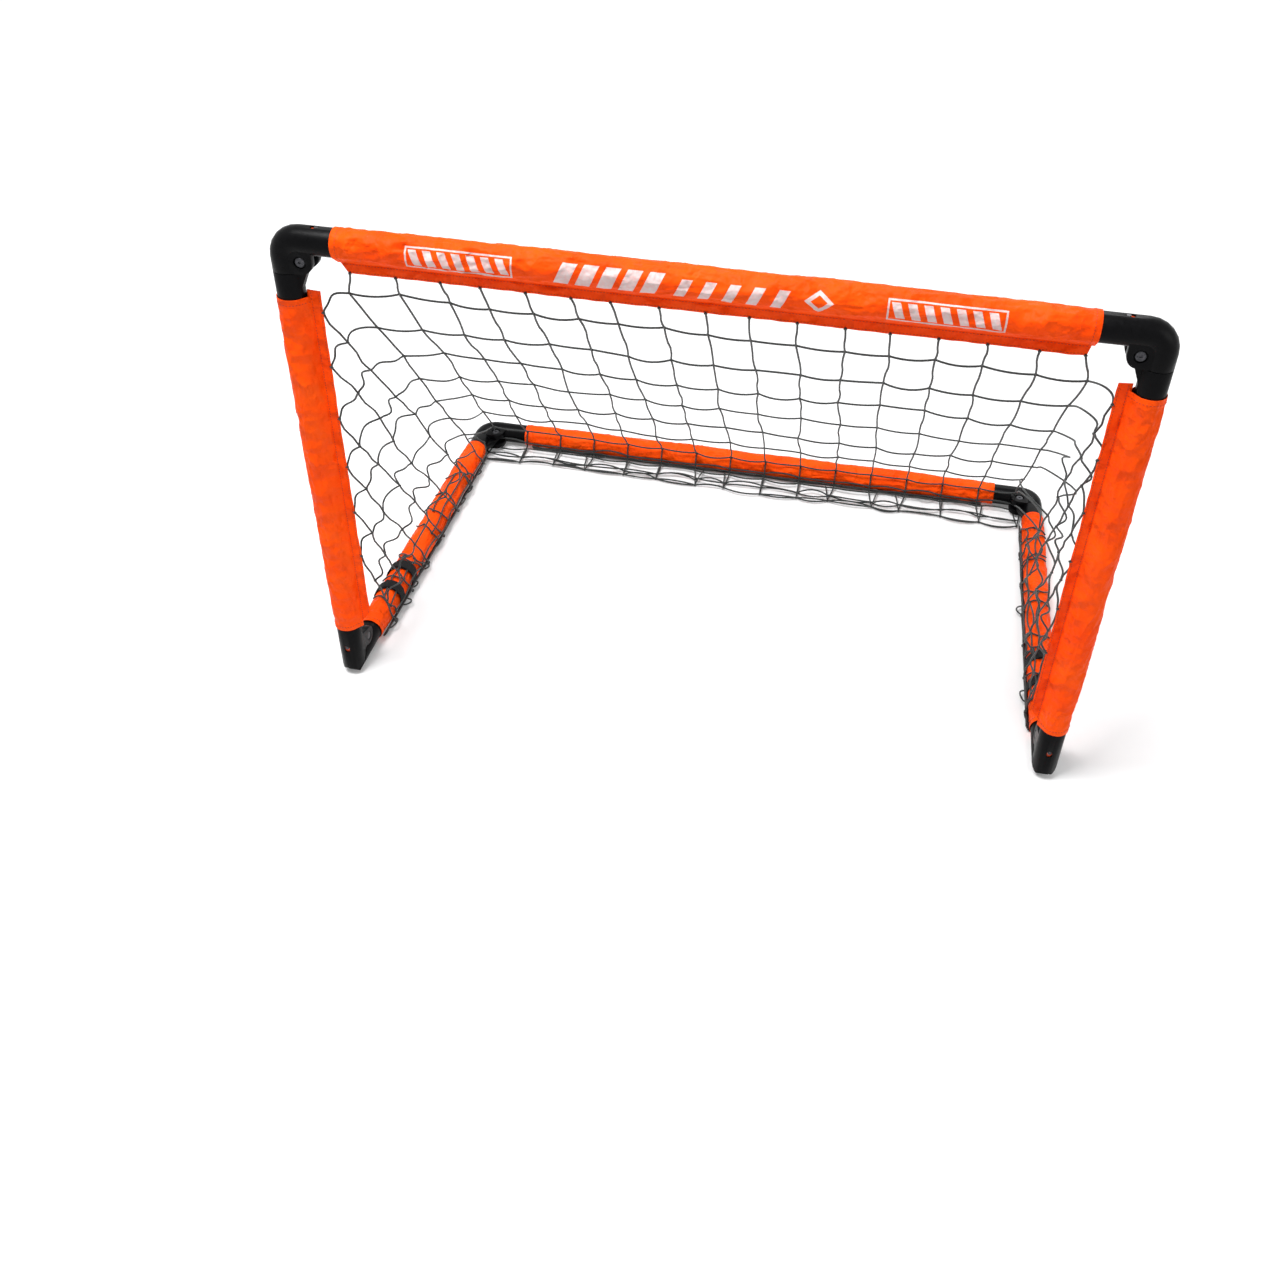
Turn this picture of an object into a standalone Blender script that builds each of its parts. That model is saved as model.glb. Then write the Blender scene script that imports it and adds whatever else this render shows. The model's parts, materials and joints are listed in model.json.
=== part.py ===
"""Folding soccer goal: a front frame and a ground frame of one size, hinged at the feet.

The ground frame folds up behind the front frame, and then the two arms of each frame swing in
under its long bar. Sizes are in metres. Z is up, the goal mouth faces -Y, and the origin lies on
the floor in the middle of the frame.

A corner fitting is modelled in its corner's own frame. The frame's origin is where the axes of the
two tubes meet, its first axis runs along one tube, its second along the other, and its third is
square to both.
"""

import math

import bmesh
import bpy
from mathutils import Matrix, Vector

# The frame's axes
POST_X = 0.580
BAR_Z = 0.780
FLOOR_Z = 0.024
REACH = BAR_Z - FLOOR_Z
FRONT_Y = -REACH / 2
REAR_Y = REACH / 2

# Tubes, sockets and sleeves
TUBE_R = 0.017
TUBE_WALL = 0.0012
BORE_R = 0.0175
SOCKET_R = 0.020
SLEEVE_INNER_R = 0.0206
SLEEVE_OUTER_R = 0.0214
FLANGE_ROOT_R = 0.0217
FLANGE_TIP_R = 0.0415
FLANGE_END_SLANT = 0.012
FLANGE_THICKNESS = 0.0016
ROUND_SIDES = 24

# Corner elbows and the arm sockets that pivot in them, along the bar and along the arm
PIVOT_INSET = 0.027
ELBOW_BEND_R = 0.024
ELBOW_BEND_STEPS = 6
ELBOW_REACH = 0.125
ELBOW_BORE_START = 0.0405
ELBOW_END = 0.0447
EAR_R = 0.0173
EAR_HALF = 0.0165
SLOT_HALF = 0.0067
SLOT_OUTER = 0.004
SLOT_FLOOR = 0.0155
SLOT_STEP = 0.039
SLOT_STEP_FLOOR = 0.0203
TONGUE_HALF = 0.0060
TONGUE_R = 0.010
ARM_START = 0.0457
ARM_BORE_START = 0.066
ARM_END = 0.137
WEB_FOOT = 0.070

# Pivot bolts and nuts
BOLT_R = 0.0030
BOLT_HOLE_R = 0.0035
RECESS_R = 0.0090
RECESS_SEAT = 0.0125
HEAD_R = 0.0075
HEAD_HEIGHT = 0.0028
NUT_R = 0.0058
NUT_HEIGHT = 0.0026
HEX_KEY_R = 0.0023
HEX_KEY_DEPTH = 0.0014
SEAT_GAP = 0.0003

# Feet and the hinge ends of the side bars
HINGE_INSET = 0.028
FOOT_END = 0.091
FOOT_BORE_START = 0.024
HINGE_END = 0.115
HINGE_BORE_START = 0.046
MITRE_GAP = 0.0030
CORNER_CHAMFER = 0.008
CHEEK_R = 0.0165
CHEEK_INNER = 0.0097
CHEEK_OUTER = 0.0190
CHEEK_TOP = 0.049
CHEEK_RELIEF_R = 0.0195
KNUCKLE_R = 0.0088
KNUCKLE_HALF = 0.0055
FORK_ROOT = 0.0177
FORK_TOP = 0.040
FORK_OPEN_FROM = 0.0285
HINGE_RECESS_R = 0.0070
HINGE_RECESS_SEAT = 0.0162
HINGE_HEAD_R = 0.0062
HINGE_HEAD_HEIGHT = 0.0023

# Tube screws and the windows that show them
SCREW_HEAD_R = 0.0032
SCREW_HEAD_HEIGHT = 0.0022
SCREW_SHANK_R = 0.0020
SCREW_LENGTH = 0.0075
SCREW_SIDES = 10
TUBE_HOLE_R = 0.0024
WINDOW_HALF = 0.0065
WINDOW_R = 0.0042
ELBOW_WINDOW_AT = 0.0485
ELBOW_SCREW_AT = 0.0508
FOOT_WINDOW_AT = 0.0335
FOOT_SCREW_AT = 0.0362
ARM_SCREW_AT = 0.118
HINGE_END_SCREW_AT = 0.098

# Sleeve ends, measured from the corner of the axes
CROSSBAR_SLEEVE_START = 0.068
REAR_SLEEVE_START = 0.088
ARM_SLEEVE_START = 0.097
FOOT_SLEEVE_START = 0.051
HINGE_SLEEVE_START = 0.073

# Flat pads that the ground frame stands on
PAD_HALF_WIDTH = 0.010
PAD_TOP = 0.012
FRONT_PAD = (-0.006, 0.034)
REAR_PAD_ALONG_BAR = (0.004, 0.028)
REAR_PAD_ALONG_ARM = (-0.006, 0.014)

# Straps round the side bars
STRAP_INNER_R = 0.0219
STRAP_OUTER_R = 0.0231
STRAP_WIDTH = 0.020
STRAP_PLACES = {"strap_front": -0.212, "strap_rear": -0.150}

# Net of square mesh
STRAND = 0.0025
NET_GAP = 0.0004
BACK_COLUMNS = 13
BACK_ROWS = 12
BACK_HALF_WIDTH = 0.533
BACK_CORNER_X = 0.524
SIDE_CELLS = 8
SIDE_BAR_X = 0.553
SIDE_TOP_Z = 0.716

LEFT = -1
RIGHT = 1
SIDE_NAMES = {LEFT: "left", RIGHT: "right"}

PLASTIC = ("black_plastic", (0.012, 0.012, 0.014), 0.38, 0.0)
STEEL = ("painted_steel", (0.90, 0.13, 0.015), 0.35, 0.0)
FABRIC = ("orange_fabric", (0.93, 0.12, 0.010), 0.80, 0.0)
BLACK_STEEL = ("black_steel", (0.020, 0.020, 0.022), 0.32, 1.0)
WEBBING = ("black_webbing", (0.010, 0.010, 0.011), 0.90, 0.0)
TWINE = ("dark_twine", (0.030, 0.032, 0.035), 0.85, 0.0)


def clear_scene():
    """Remove whatever the scene holds."""
    for obj in list(bpy.data.objects):
        bpy.data.objects.remove(obj, do_unlink=True)


def new_collection(name):
    """A collection of the scene with this name."""
    collection = bpy.data.collections.new(name)
    bpy.context.scene.collection.children.link(collection)
    return collection


clear_scene()
PARTS = new_collection("folding_soccer_goal")
CUTTERS = new_collection("cutters")


def material(name, colour, roughness, metallic):
    """The material of one finish, made when it is first asked for."""
    found = bpy.data.materials.get(name)
    if found:
        return found
    made = bpy.data.materials.new(name)
    made.use_nodes = True
    shader = made.node_tree.nodes["Principled BSDF"]
    shader.inputs["Base Color"].default_value = (*colour, 1.0)
    shader.inputs["Roughness"].default_value = roughness
    shader.inputs["Metallic"].default_value = metallic
    return made


def body_empty(name, place, parent=None):
    """The empty of one moving body, standing on its joint's axis."""
    empty = bpy.data.objects.new(name, None)
    empty.empty_display_size = 0.05
    PARTS.objects.link(empty)
    empty.location = place
    bpy.context.view_layer.update()
    if parent:
        hold(empty, parent)
    return empty


def hold(child, parent):
    """Parent an object and leave it where it is."""
    bpy.context.view_layer.update()
    child.parent = parent
    child.matrix_parent_inverse = parent.matrix_world.inverted()
    bpy.context.view_layer.update()


def frame(origin, first, second):
    """A corner's own frame as a matrix, with its third axis square to the two given."""
    first = Vector(first)
    second = Vector(second)
    turn = Matrix((first, second, first.cross(second))).transposed().to_4x4()
    return Matrix.Translation(origin) @ turn


def spindle(origin, direction, towards):
    """A frame whose Z runs along direction and whose X points towards."""
    along = Vector(direction)
    across = Vector(towards)
    turn = Matrix((across, along.cross(across), along)).transposed().to_4x4()
    return Matrix.Translation(origin) @ turn


def mesh_object(name, mesh, place):
    """An object of this mesh, standing at the place given by a matrix."""
    obj = bpy.data.objects.new(name, mesh)
    PARTS.objects.link(obj)
    obj.matrix_world = place
    return obj


def curve_to_mesh(curve_obj):
    """Turn a curve object into a mesh object with its caps welded."""
    bpy.context.view_layer.update()
    graph = bpy.context.evaluated_depsgraph_get()
    mesh = bpy.data.meshes.new_from_object(curve_obj.evaluated_get(graph))
    weld = bmesh.new()
    weld.from_mesh(mesh)
    bmesh.ops.remove_doubles(weld, verts=weld.verts, dist=1e-6)
    bmesh.ops.recalc_face_normals(weld, faces=weld.faces)
    weld.to_mesh(mesh)
    weld.free()
    name = curve_obj.name
    place = curve_obj.matrix_world.copy()
    bpy.data.objects.remove(curve_obj, do_unlink=True)
    return mesh_object(name, mesh, place)


def poly_spline(curve, points, closed):
    """Add a polyline through the points, which have two or three numbers each."""
    spline = curve.splines.new("POLY")
    spline.points.add(len(points) - 1)
    for slot, point in zip(spline.points, points):
        across = tuple(point) + (0.0,) * (3 - len(point))
        slot.co = (*across, 1.0)
    spline.use_cyclic_u = closed


def rail(name, place, points, radius, sides=ROUND_SIDES):
    """A round bar that follows the points."""
    curve = bpy.data.curves.new(name, "CURVE")
    curve.dimensions = "3D"
    curve.bevel_depth = radius
    curve.bevel_resolution = (sides - 4) // 2
    curve.use_fill_caps = True
    poly_spline(curve, points, closed=False)
    return curve_to_mesh(mesh_object(name, curve, place))


def plate(name, place, outlines, half_thickness, middle=0.0):
    """A flat plate: the first outline is its edge and the others are holes in it."""
    curve = bpy.data.curves.new(name, "CURVE")
    curve.dimensions = "2D"
    curve.fill_mode = "BOTH"
    curve.extrude = half_thickness
    for outline in outlines:
        poly_spline(curve, outline, closed=True)
    return curve_to_mesh(mesh_object(name, curve, place @ Matrix.Translation((0, 0, middle))))


def cylinder(name, place, centre, axis, radius, length, sides=ROUND_SIDES):
    """A closed cylinder with its middle at centre."""
    mesh = bpy.data.meshes.new(name)
    turn = Vector(axis).to_track_quat("Z", "Y").to_matrix().to_4x4()
    made = bmesh.new()
    bmesh.ops.create_cone(
        made,
        cap_ends=True,
        segments=sides,
        radius1=radius,
        radius2=radius,
        depth=length,
        matrix=Matrix.Translation(centre) @ turn,
    )
    made.to_mesh(mesh)
    made.free()
    return mesh_object(name, mesh, place)


def box(name, place, low, high):
    """A closed box between two corners."""
    mesh = bpy.data.meshes.new(name)
    low = Vector(low)
    high = Vector(high)
    size = high - low
    shape = Matrix.Translation((low + high) / 2) @ Matrix.Diagonal((*size, 1.0))
    made = bmesh.new()
    bmesh.ops.create_cube(made, size=1.0, matrix=shape)
    made.to_mesh(mesh)
    made.free()
    return mesh_object(name, mesh, place)


def turned(name, place, profile, closed, sides=ROUND_SIDES):
    """A turned shape: pairs of radius and height, running down the outer side, spun about Z."""
    mesh = bpy.data.meshes.new(name)
    made = bmesh.new()
    corners = [made.verts.new((radius, 0.0, height)) for radius, height in profile]
    for first, second in zip(corners, corners[1:]):
        made.edges.new((first, second))
    if closed:
        made.edges.new((corners[-1], corners[0]))
    made.to_mesh(mesh)
    made.free()
    obj = mesh_object(name, mesh, place)
    spin = obj.modifiers.new("Spin", "SCREW")
    spin.axis = "Z"
    spin.angle = math.tau
    spin.steps = sides
    spin.render_steps = sides
    spin.use_merge_vertices = True
    spin.merge_threshold = 1e-5
    return obj


def join(obj, *others):
    """Fuse the others into the object."""
    for other in others:
        combine(obj, other, "UNION")


def cut(obj, *others):
    """Cut the others out of the object."""
    for other in others:
        combine(obj, other, "DIFFERENCE")


def combine(obj, other, operation):
    """Add a Boolean and put the other shape among the cutters."""
    boolean = obj.modifiers.new(other.name, "BOOLEAN")
    boolean.operation = operation
    boolean.solver = "EXACT"
    boolean.object = other
    if other.name in PARTS.objects:
        PARTS.objects.unlink(other)
        CUTTERS.objects.link(other)
    other.hide_render = True
    other.display_type = "WIRE"


def finish(obj, body, look):
    """Give a piece its body and material, and shade its round faces smooth."""
    obj.data.materials.clear()
    obj.data.materials.append(material(*look))
    if obj.type == "MESH":
        obj.data.shade_smooth()
        obj.data.set_sharp_from_angle(angle=math.radians(40))
    hold(obj, body)
    return obj


def arc(centre, radius, start, end, steps):
    """Points round a centre between two angles in degrees, both ends included."""
    points = []
    for step in range(steps + 1):
        angle = math.radians(start + (end - start) * step / steps)
        points.append((centre[0] + radius * math.cos(angle), centre[1] + radius * math.sin(angle)))
    return points


def ring_profile(inner, outer, low, high):
    """The closed profile of a plain ring for turned()."""
    return [(outer, high), (outer, low), (inner, low), (inner, high)]


def window(name, place, at, outward):
    """Cutter for an oblong window in a socket, long along the tube.

    at is the window's middle along the tube, and outward is which of the frame's first two axes
    the window faces away from: 0 or 1.
    """
    straight = WINDOW_HALF - WINDOW_R
    stadium = arc((straight, 0), WINDOW_R, -90, 90, 6) + arc((-straight, 0), WINDOW_R, 90, 270, 6)
    middle = [at, at, 0.0]
    middle[outward] = -(BORE_R + SOCKET_R) / 2
    outward_axis = Vector((0, 0, 0))
    outward_axis[outward] = -1
    along = Vector((0, 0, 0))
    along[1 - outward] = 1
    turn = spindle(middle, outward_axis, along)
    return plate(name, place @ turn, [stadium], SOCKET_R - BORE_R)


def pivot_hole(name, place, centre, radius):
    """Cutter for a round hole square to both tubes of a corner."""
    return cylinder(name, place, (*centre, 0), (0, 0, 1), radius, 0.080, 20)


def recess(name, place, centre, radius, seat):
    """Cutter for the round recess outside seat, on one side. The sign of seat gives the side."""
    depth = 0.012
    middle = seat + math.copysign(depth / 2, seat)
    return cylinder(name, place, (*centre, middle), (0, 0, 1), radius, depth)


def tube_screw(name, tube_axis_point, outward, along, body):
    """A tube screw, its head on the tube's skin, at a point of the tube's axis."""
    place = spindle(tube_axis_point, outward, along)
    seat = TUBE_R + SEAT_GAP
    profile = [
        (0.0, seat + SCREW_HEAD_HEIGHT),
        (SCREW_HEAD_R, seat + SCREW_HEAD_HEIGHT),
        (SCREW_HEAD_R, seat),
        (SCREW_SHANK_R, seat),
        (SCREW_SHANK_R, seat - SCREW_LENGTH),
        (0.0, seat - SCREW_LENGTH),
    ]
    screw = turned(name, place, profile, closed=False, sides=SCREW_SIDES)
    return finish(screw, body, BLACK_STEEL)


def steel_tube(name, start, end, screw_points, outward, body):
    """A straight steel tube with a hole under each of its screws."""
    start = Vector(start)
    end = Vector(end)
    axis = (end - start).normalized()
    length = (end - start).length
    profile = ring_profile(TUBE_R - TUBE_WALL, TUBE_R, 0.0, length)
    tube = turned(name, spindle(start, axis, outward), profile, closed=True)
    drills = []
    for number, point in enumerate(screw_points):
        middle = Vector(point) + Vector(outward) * TUBE_R
        drill = cylinder(
            f"{name}_drill_{number}",
            Matrix.Identity(4),
            middle,
            outward,
            TUBE_HOLE_R,
            0.010,
            SCREW_SIDES,
        )
        drills.append(drill)
    cut(tube, *drills)
    return finish(tube, body, STEEL)


def sleeve(name, start, end, body):
    """A fabric sleeve with open ends."""
    start = Vector(start)
    end = Vector(end)
    axis = (end - start).normalized()
    length = (end - start).length
    profile = ring_profile(SLEEVE_INNER_R, SLEEVE_OUTER_R, 0.0, length)
    place = spindle(start, axis, axis.orthogonal().normalized())
    return finish(turned(name, place, profile, closed=True), body, FABRIC)


def seam_flange(name, start, end, towards, body):
    """The flat seam of a sleeve, which holds the net's edge. Both of its ends are cut on a slant."""
    start = Vector(start)
    end = Vector(end)
    axis = (end - start).normalized()
    half = (end - start).length / 2
    tip_half = half - FLANGE_END_SLANT
    outline = [
        (-half, FLANGE_ROOT_R),
        (half, FLANGE_ROOT_R),
        (tip_half, FLANGE_TIP_R),
        (-tip_half, FLANGE_TIP_R),
    ]
    place = spindle((start + end) / 2, axis.cross(Vector(towards)), axis)
    return finish(plate(name, place, [outline], FLANGE_THICKNESS / 2), body, FABRIC)


def elbow(name, corner, body, pad=None):
    """The fitting at a corner: a bent socket with a slotted ear that takes the arm's tongue."""
    pivot = (PIVOT_INSET, PIVOT_INSET)
    bend = arc((ELBOW_BEND_R, ELBOW_BEND_R), ELBOW_BEND_R, 270, 180, ELBOW_BEND_STEPS)
    path = [(ELBOW_REACH, 0.0)] + bend + [(0.0, ELBOW_END)]
    fitting = rail(name, corner, path, SOCKET_R)
    root = SOCKET_R / 2
    ear_outline = [(root, root), (PIVOT_INSET + EAR_R, root)]
    ear_outline += arc(pivot, EAR_R, 0, 90, 8)
    ear_outline += [(root, PIVOT_INSET + EAR_R)]
    join(fitting, plate(f"{name}_ear", corner, [ear_outline], EAR_HALF))
    if pad:
        join(fitting, pad)
    slot_end = 0.060
    slot_outline = [
        (SLOT_OUTER, SLOT_FLOOR),
        (SLOT_STEP, SLOT_FLOOR),
        (SLOT_STEP, SLOT_STEP_FLOOR),
        (slot_end, SLOT_STEP_FLOOR),
        (slot_end, slot_end),
        (SLOT_OUTER, slot_end),
    ]
    bore_length = ELBOW_REACH - ELBOW_BORE_START + 0.010
    bore_middle = (ELBOW_BORE_START + bore_length / 2, 0, 0)
    cut(
        fitting,
        plate(f"{name}_slot", corner, [slot_outline], SLOT_HALF),
        cylinder(f"{name}_bore", corner, bore_middle, (1, 0, 0), BORE_R, bore_length),
        pivot_hole(f"{name}_pivot_hole", corner, pivot, BOLT_HOLE_R),
        recess(f"{name}_head_recess", corner, pivot, RECESS_R, RECESS_SEAT),
        recess(f"{name}_nut_recess", corner, pivot, RECESS_R, -RECESS_SEAT),
        window(f"{name}_window", corner, ELBOW_WINDOW_AT, outward=1),
    )
    return finish(fitting, body, PLASTIC)


def arm_socket(name, corner, body):
    """The socket that pivots in an elbow: a round socket with a flat tongue at its inner side."""
    pivot = (PIVOT_INSET, PIVOT_INSET)
    path = [(0.0, ARM_START), (0.0, ARM_END)]
    fitting = rail(name, corner, path, SOCKET_R)
    tongue_outline = arc(pivot, TONGUE_R, 180, 380, 10)
    tongue_outline += [
        (SOCKET_R - 0.0005, WEB_FOOT),
        (SOCKET_R / 2, WEB_FOOT),
        (0.006, 0.060),
        (0.006, ARM_START),
    ]
    join(fitting, plate(f"{name}_tongue", corner, [tongue_outline], TONGUE_HALF))
    bore_length = ARM_END - ARM_BORE_START + 0.010
    bore_middle = (0, ARM_BORE_START + bore_length / 2, 0)
    screw_middle = (-SOCKET_R, ARM_SCREW_AT, 0)
    cut(
        fitting,
        cylinder(f"{name}_bore", corner, bore_middle, (0, 1, 0), BORE_R, bore_length),
        pivot_hole(f"{name}_pivot_hole", corner, pivot, BOLT_HOLE_R),
        cylinder(f"{name}_screw_hole", corner, screw_middle, (1, 0, 0), WINDOW_R, 0.012, 12),
    )
    return finish(fitting, body, PLASTIC)


def mitre_cutter(name, corner, side):
    """Cutter that leaves a corner fitting on one side of the mitre: 1 above it, -1 below it."""
    shift = side * MITRE_GAP / math.sqrt(2)
    far = 0.090
    outline = [(-far, -far + shift), (far, far + shift), (side * far, -side * far)]
    if side < 0:
        outline.reverse()
    return plate(name, corner, [outline], 0.040)


def chamfer_cutter(name, corner):
    """Cutter for the blunted outer corner of a foot."""
    edge = -2 * SOCKET_R + CORNER_CHAMFER * math.sqrt(2)
    far = 0.060
    outline = [(edge - far, far), (-far, -far), (far, edge - far)]
    return plate(name, corner, [outline], 0.040)


def foot(name, corner, body):
    """The upright's lower fitting: a mitred socket with two hinge cheeks behind it."""
    pin = (HINGE_INSET, HINGE_INSET)
    fitting = rail(name, corner, [(0.0, -0.030), (0.0, FOOT_END)], SOCKET_R)
    cut(
        fitting,
        mitre_cutter(f"{name}_mitre", corner, side=1),
        chamfer_cutter(f"{name}_chamfer", corner),
    )
    cheek_outline = [(0.004, 0.012), (0.004, CHEEK_TOP), (0.010, CHEEK_TOP)]
    cheek_outline += arc(pin, CHEEK_R, 95, -135, 14)
    join(fitting, plate(f"{name}_cheeks", corner, [cheek_outline], CHEEK_OUTER))
    bore_length = FOOT_END - FOOT_BORE_START + 0.010
    bore_middle = (0, FOOT_BORE_START + bore_length / 2, 0)
    slot_low = (FORK_ROOT, -0.050, -CHEEK_INNER)
    slot_high = (0.070, FORK_TOP, CHEEK_INNER)
    open_low = (FORK_OPEN_FROM, FORK_TOP - 0.005, -CHEEK_INNER)
    open_high = (0.070, CHEEK_TOP + 0.010, CHEEK_INNER)
    cut(
        fitting,
        box(f"{name}_fork", corner, slot_low, slot_high),
        box(f"{name}_fork_opening", corner, open_low, open_high),
        cylinder(f"{name}_bore", corner, bore_middle, (0, 1, 0), BORE_R, bore_length),
        pivot_hole(f"{name}_pin_hole", corner, pin, BOLT_HOLE_R),
        recess(f"{name}_recess_a", corner, pin, HINGE_RECESS_R, HINGE_RECESS_SEAT),
        recess(f"{name}_recess_b", corner, pin, HINGE_RECESS_R, -HINGE_RECESS_SEAT),
        window(f"{name}_window", corner, FOOT_WINDOW_AT, outward=0),
    )
    return finish(fitting, body, PLASTIC)


def hinge_end(name, corner, body):
    """The side bar's front fitting: a mitred socket with a hinge knuckle on top and a pad below."""
    pin = (HINGE_INSET, HINGE_INSET)
    fitting = rail(name, corner, [(-0.030, 0.0), (HINGE_END, 0.0)], SOCKET_R)
    cut(
        fitting,
        mitre_cutter(f"{name}_mitre", corner, side=-1),
        chamfer_cutter(f"{name}_chamfer", corner),
        pivot_hole(f"{name}_cheek_relief", corner, pin, CHEEK_RELIEF_R),
    )
    knuckle_front = HINGE_INSET - KNUCKLE_R
    knuckle_outline = [(knuckle_front, 0.002)]
    knuckle_outline += arc(pin, KNUCKLE_R, 180, -15, 10)
    knuckle_outline += [(0.060, 0.0168), (0.060, 0.002)]
    pad_low = (FRONT_PAD[0], -FLOOR_Z, -PAD_HALF_WIDTH)
    pad_high = (FRONT_PAD[1], PAD_TOP - FLOOR_Z, PAD_HALF_WIDTH)
    join(
        fitting,
        plate(f"{name}_knuckle", corner, [knuckle_outline], KNUCKLE_HALF),
        box(f"{name}_pad", corner, pad_low, pad_high),
    )
    bore_length = HINGE_END - HINGE_BORE_START + 0.010
    bore_middle = (HINGE_BORE_START + bore_length / 2, 0, 0)
    screw_middle = (HINGE_END_SCREW_AT, SOCKET_R, 0)
    cut(
        fitting,
        cylinder(f"{name}_bore", corner, bore_middle, (1, 0, 0), BORE_R, bore_length),
        pivot_hole(f"{name}_pin_hole", corner, pin, BOLT_HOLE_R),
        cylinder(f"{name}_screw_hole", corner, screw_middle, (0, 1, 0), WINDOW_R, 0.012, 12),
    )
    return finish(fitting, body, PLASTIC)


def pivot_bolt(prefix, centre, head_side, towards, body):
    """The bolt and nut that an arm turns on. Both lie in the recesses of the elbow's ear."""
    place = spindle(centre, head_side, towards)
    head_seat = RECESS_SEAT + SEAT_GAP
    profile = [
        (0.0, head_seat + HEAD_HEIGHT),
        (HEAD_R - 0.001, head_seat + HEAD_HEIGHT),
        (HEAD_R, head_seat + HEAD_HEIGHT - 0.001),
        (HEAD_R, head_seat),
        (BOLT_R, head_seat),
        (BOLT_R, -head_seat - NUT_HEIGHT - 0.0008),
        (0.0, -head_seat - NUT_HEIGHT - 0.0008),
    ]
    bolt = turned(f"{prefix}_pivot_bolt", place, profile, closed=False, sides=16)
    key_middle = (0, 0, head_seat + HEAD_HEIGHT)
    key_name = f"{prefix}_pivot_bolt_key"
    cut(bolt, cylinder(key_name, place, key_middle, (0, 0, 1), HEX_KEY_R, 2 * HEX_KEY_DEPTH, 6))
    finish(bolt, body, BLACK_STEEL)
    nut_middle = (0, 0, -head_seat - NUT_HEIGHT / 2)
    nut = cylinder(f"{prefix}_pivot_nut", place, nut_middle, (0, 0, 1), NUT_R, NUT_HEIGHT, 6)
    cut(nut, pivot_hole(f"{prefix}_pivot_nut_bore", place, (0, 0), BOLT_HOLE_R))
    finish(nut, body, BLACK_STEEL)


def hinge_screws(prefix, corner, body):
    """The two shouldered hinge screws, one in each cheek of a foot."""
    pin = (HINGE_INSET, HINGE_INSET, 0)
    seat = HINGE_RECESS_SEAT + 0.0002
    profile = [
        (0.0, seat + HINGE_HEAD_HEIGHT),
        (HINGE_HEAD_R, seat + HINGE_HEAD_HEIGHT),
        (HINGE_HEAD_R, seat),
        (BOLT_R, seat),
        (BOLT_R, CHEEK_INNER + 0.0003),
        (0.0, CHEEK_INNER + 0.0003),
    ]
    for label, side in (("a", 1), ("b", -1)):
        place = corner @ spindle(pin, (0, 0, side), (1, 0, 0))
        screw = turned(f"{prefix}_hinge_screw_{label}", place, profile, closed=False, sides=16)
        finish(screw, body, BLACK_STEEL)


def strap(name, centre, body):
    """A hook-and-loop strap closed round a side bar's sleeve."""
    place = spindle(centre, (0, 1, 0), (1, 0, 0))
    half = STRAP_WIDTH / 2
    profile = ring_profile(STRAP_INNER_R, STRAP_OUTER_R, -half, half)
    return finish(turned(name, place, profile, closed=True), body, WEBBING)


def net_object(name, mesh, body):
    """Turn each edge of a flat grid into a strand of twine."""
    net = mesh_object(name, mesh, Matrix.Identity(4))
    strands = net.modifiers.new("Strands", "WIREFRAME")
    strands.thickness = STRAND
    strands.offset = 0.0
    strands.use_even_offset = True
    strands.use_boundary = True
    strands.use_replace = True
    return finish(net, body, TWINE)


def net_back(body):
    """The sloping back net, from the crossbar's flange to the rear bar, clear of the four ears."""
    reach = STRAND / 2 + NET_GAP
    top = Vector((0, FRONT_Y, BAR_Z - FLANGE_TIP_R - reach))
    bottom = Vector((0, REAR_Y - SLEEVE_OUTER_R - reach, FLOOR_Z))
    made = bmesh.new()
    bmesh.ops.create_grid(made, x_segments=BACK_COLUMNS, y_segments=BACK_ROWS, size=1.0)
    for vert in made.verts:
        across, down = vert.co.x, (1.0 - vert.co.y) / 2
        at_corner = abs(across) > 1 - 1e-4 and not 1e-4 < down < 1 - 1e-4
        half_width = BACK_CORNER_X if at_corner else BACK_HALF_WIDTH
        vert.co = top.lerp(bottom, down) + Vector((across * half_width, 0, 0))
    mesh = bpy.data.meshes.new("net_back")
    made.to_mesh(mesh)
    made.free()
    return net_object("net_back", mesh, body)


def side_net_x(column, row):
    """How far out a knot lies: at the flange in front and on top, and at the side bar below."""
    flange_x = POST_X - FLANGE_TIP_R - STRAND / 2 - NET_GAP
    top_row = SIDE_CELLS - column
    if column == 0:
        return flange_x
    if top_row == 0:
        return SIDE_BAR_X
    return SIDE_BAR_X + (flange_x - SIDE_BAR_X) * row / top_row


def net_side(side, body):
    """One triangular side net, between the upright's flange, the side bar and the back net."""
    name = f"net_{SIDE_NAMES[side]}"
    drop = SIDE_TOP_Z - FLOOR_Z
    cell = drop / SIDE_CELLS
    made = bmesh.new()
    corners = {}
    for column in range(SIDE_CELLS + 1):
        for row in range(SIDE_CELLS + 1 - column):
            x = side * side_net_x(column, row)
            place = (x, FRONT_Y + column * cell, FLOOR_Z + row * cell)
            corners[column, row] = made.verts.new(place)
    for column in range(SIDE_CELLS):
        for row in range(SIDE_CELLS - column):
            loop = [corners[column, row], corners[column + 1, row]]
            if column + row < SIDE_CELLS - 1:
                loop.append(corners[column + 1, row + 1])
            loop.append(corners[column, row + 1])
            made.faces.new(loop)
    mesh = bpy.data.meshes.new(name)
    made.to_mesh(mesh)
    made.free()
    return net_object(name, mesh, body)


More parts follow.
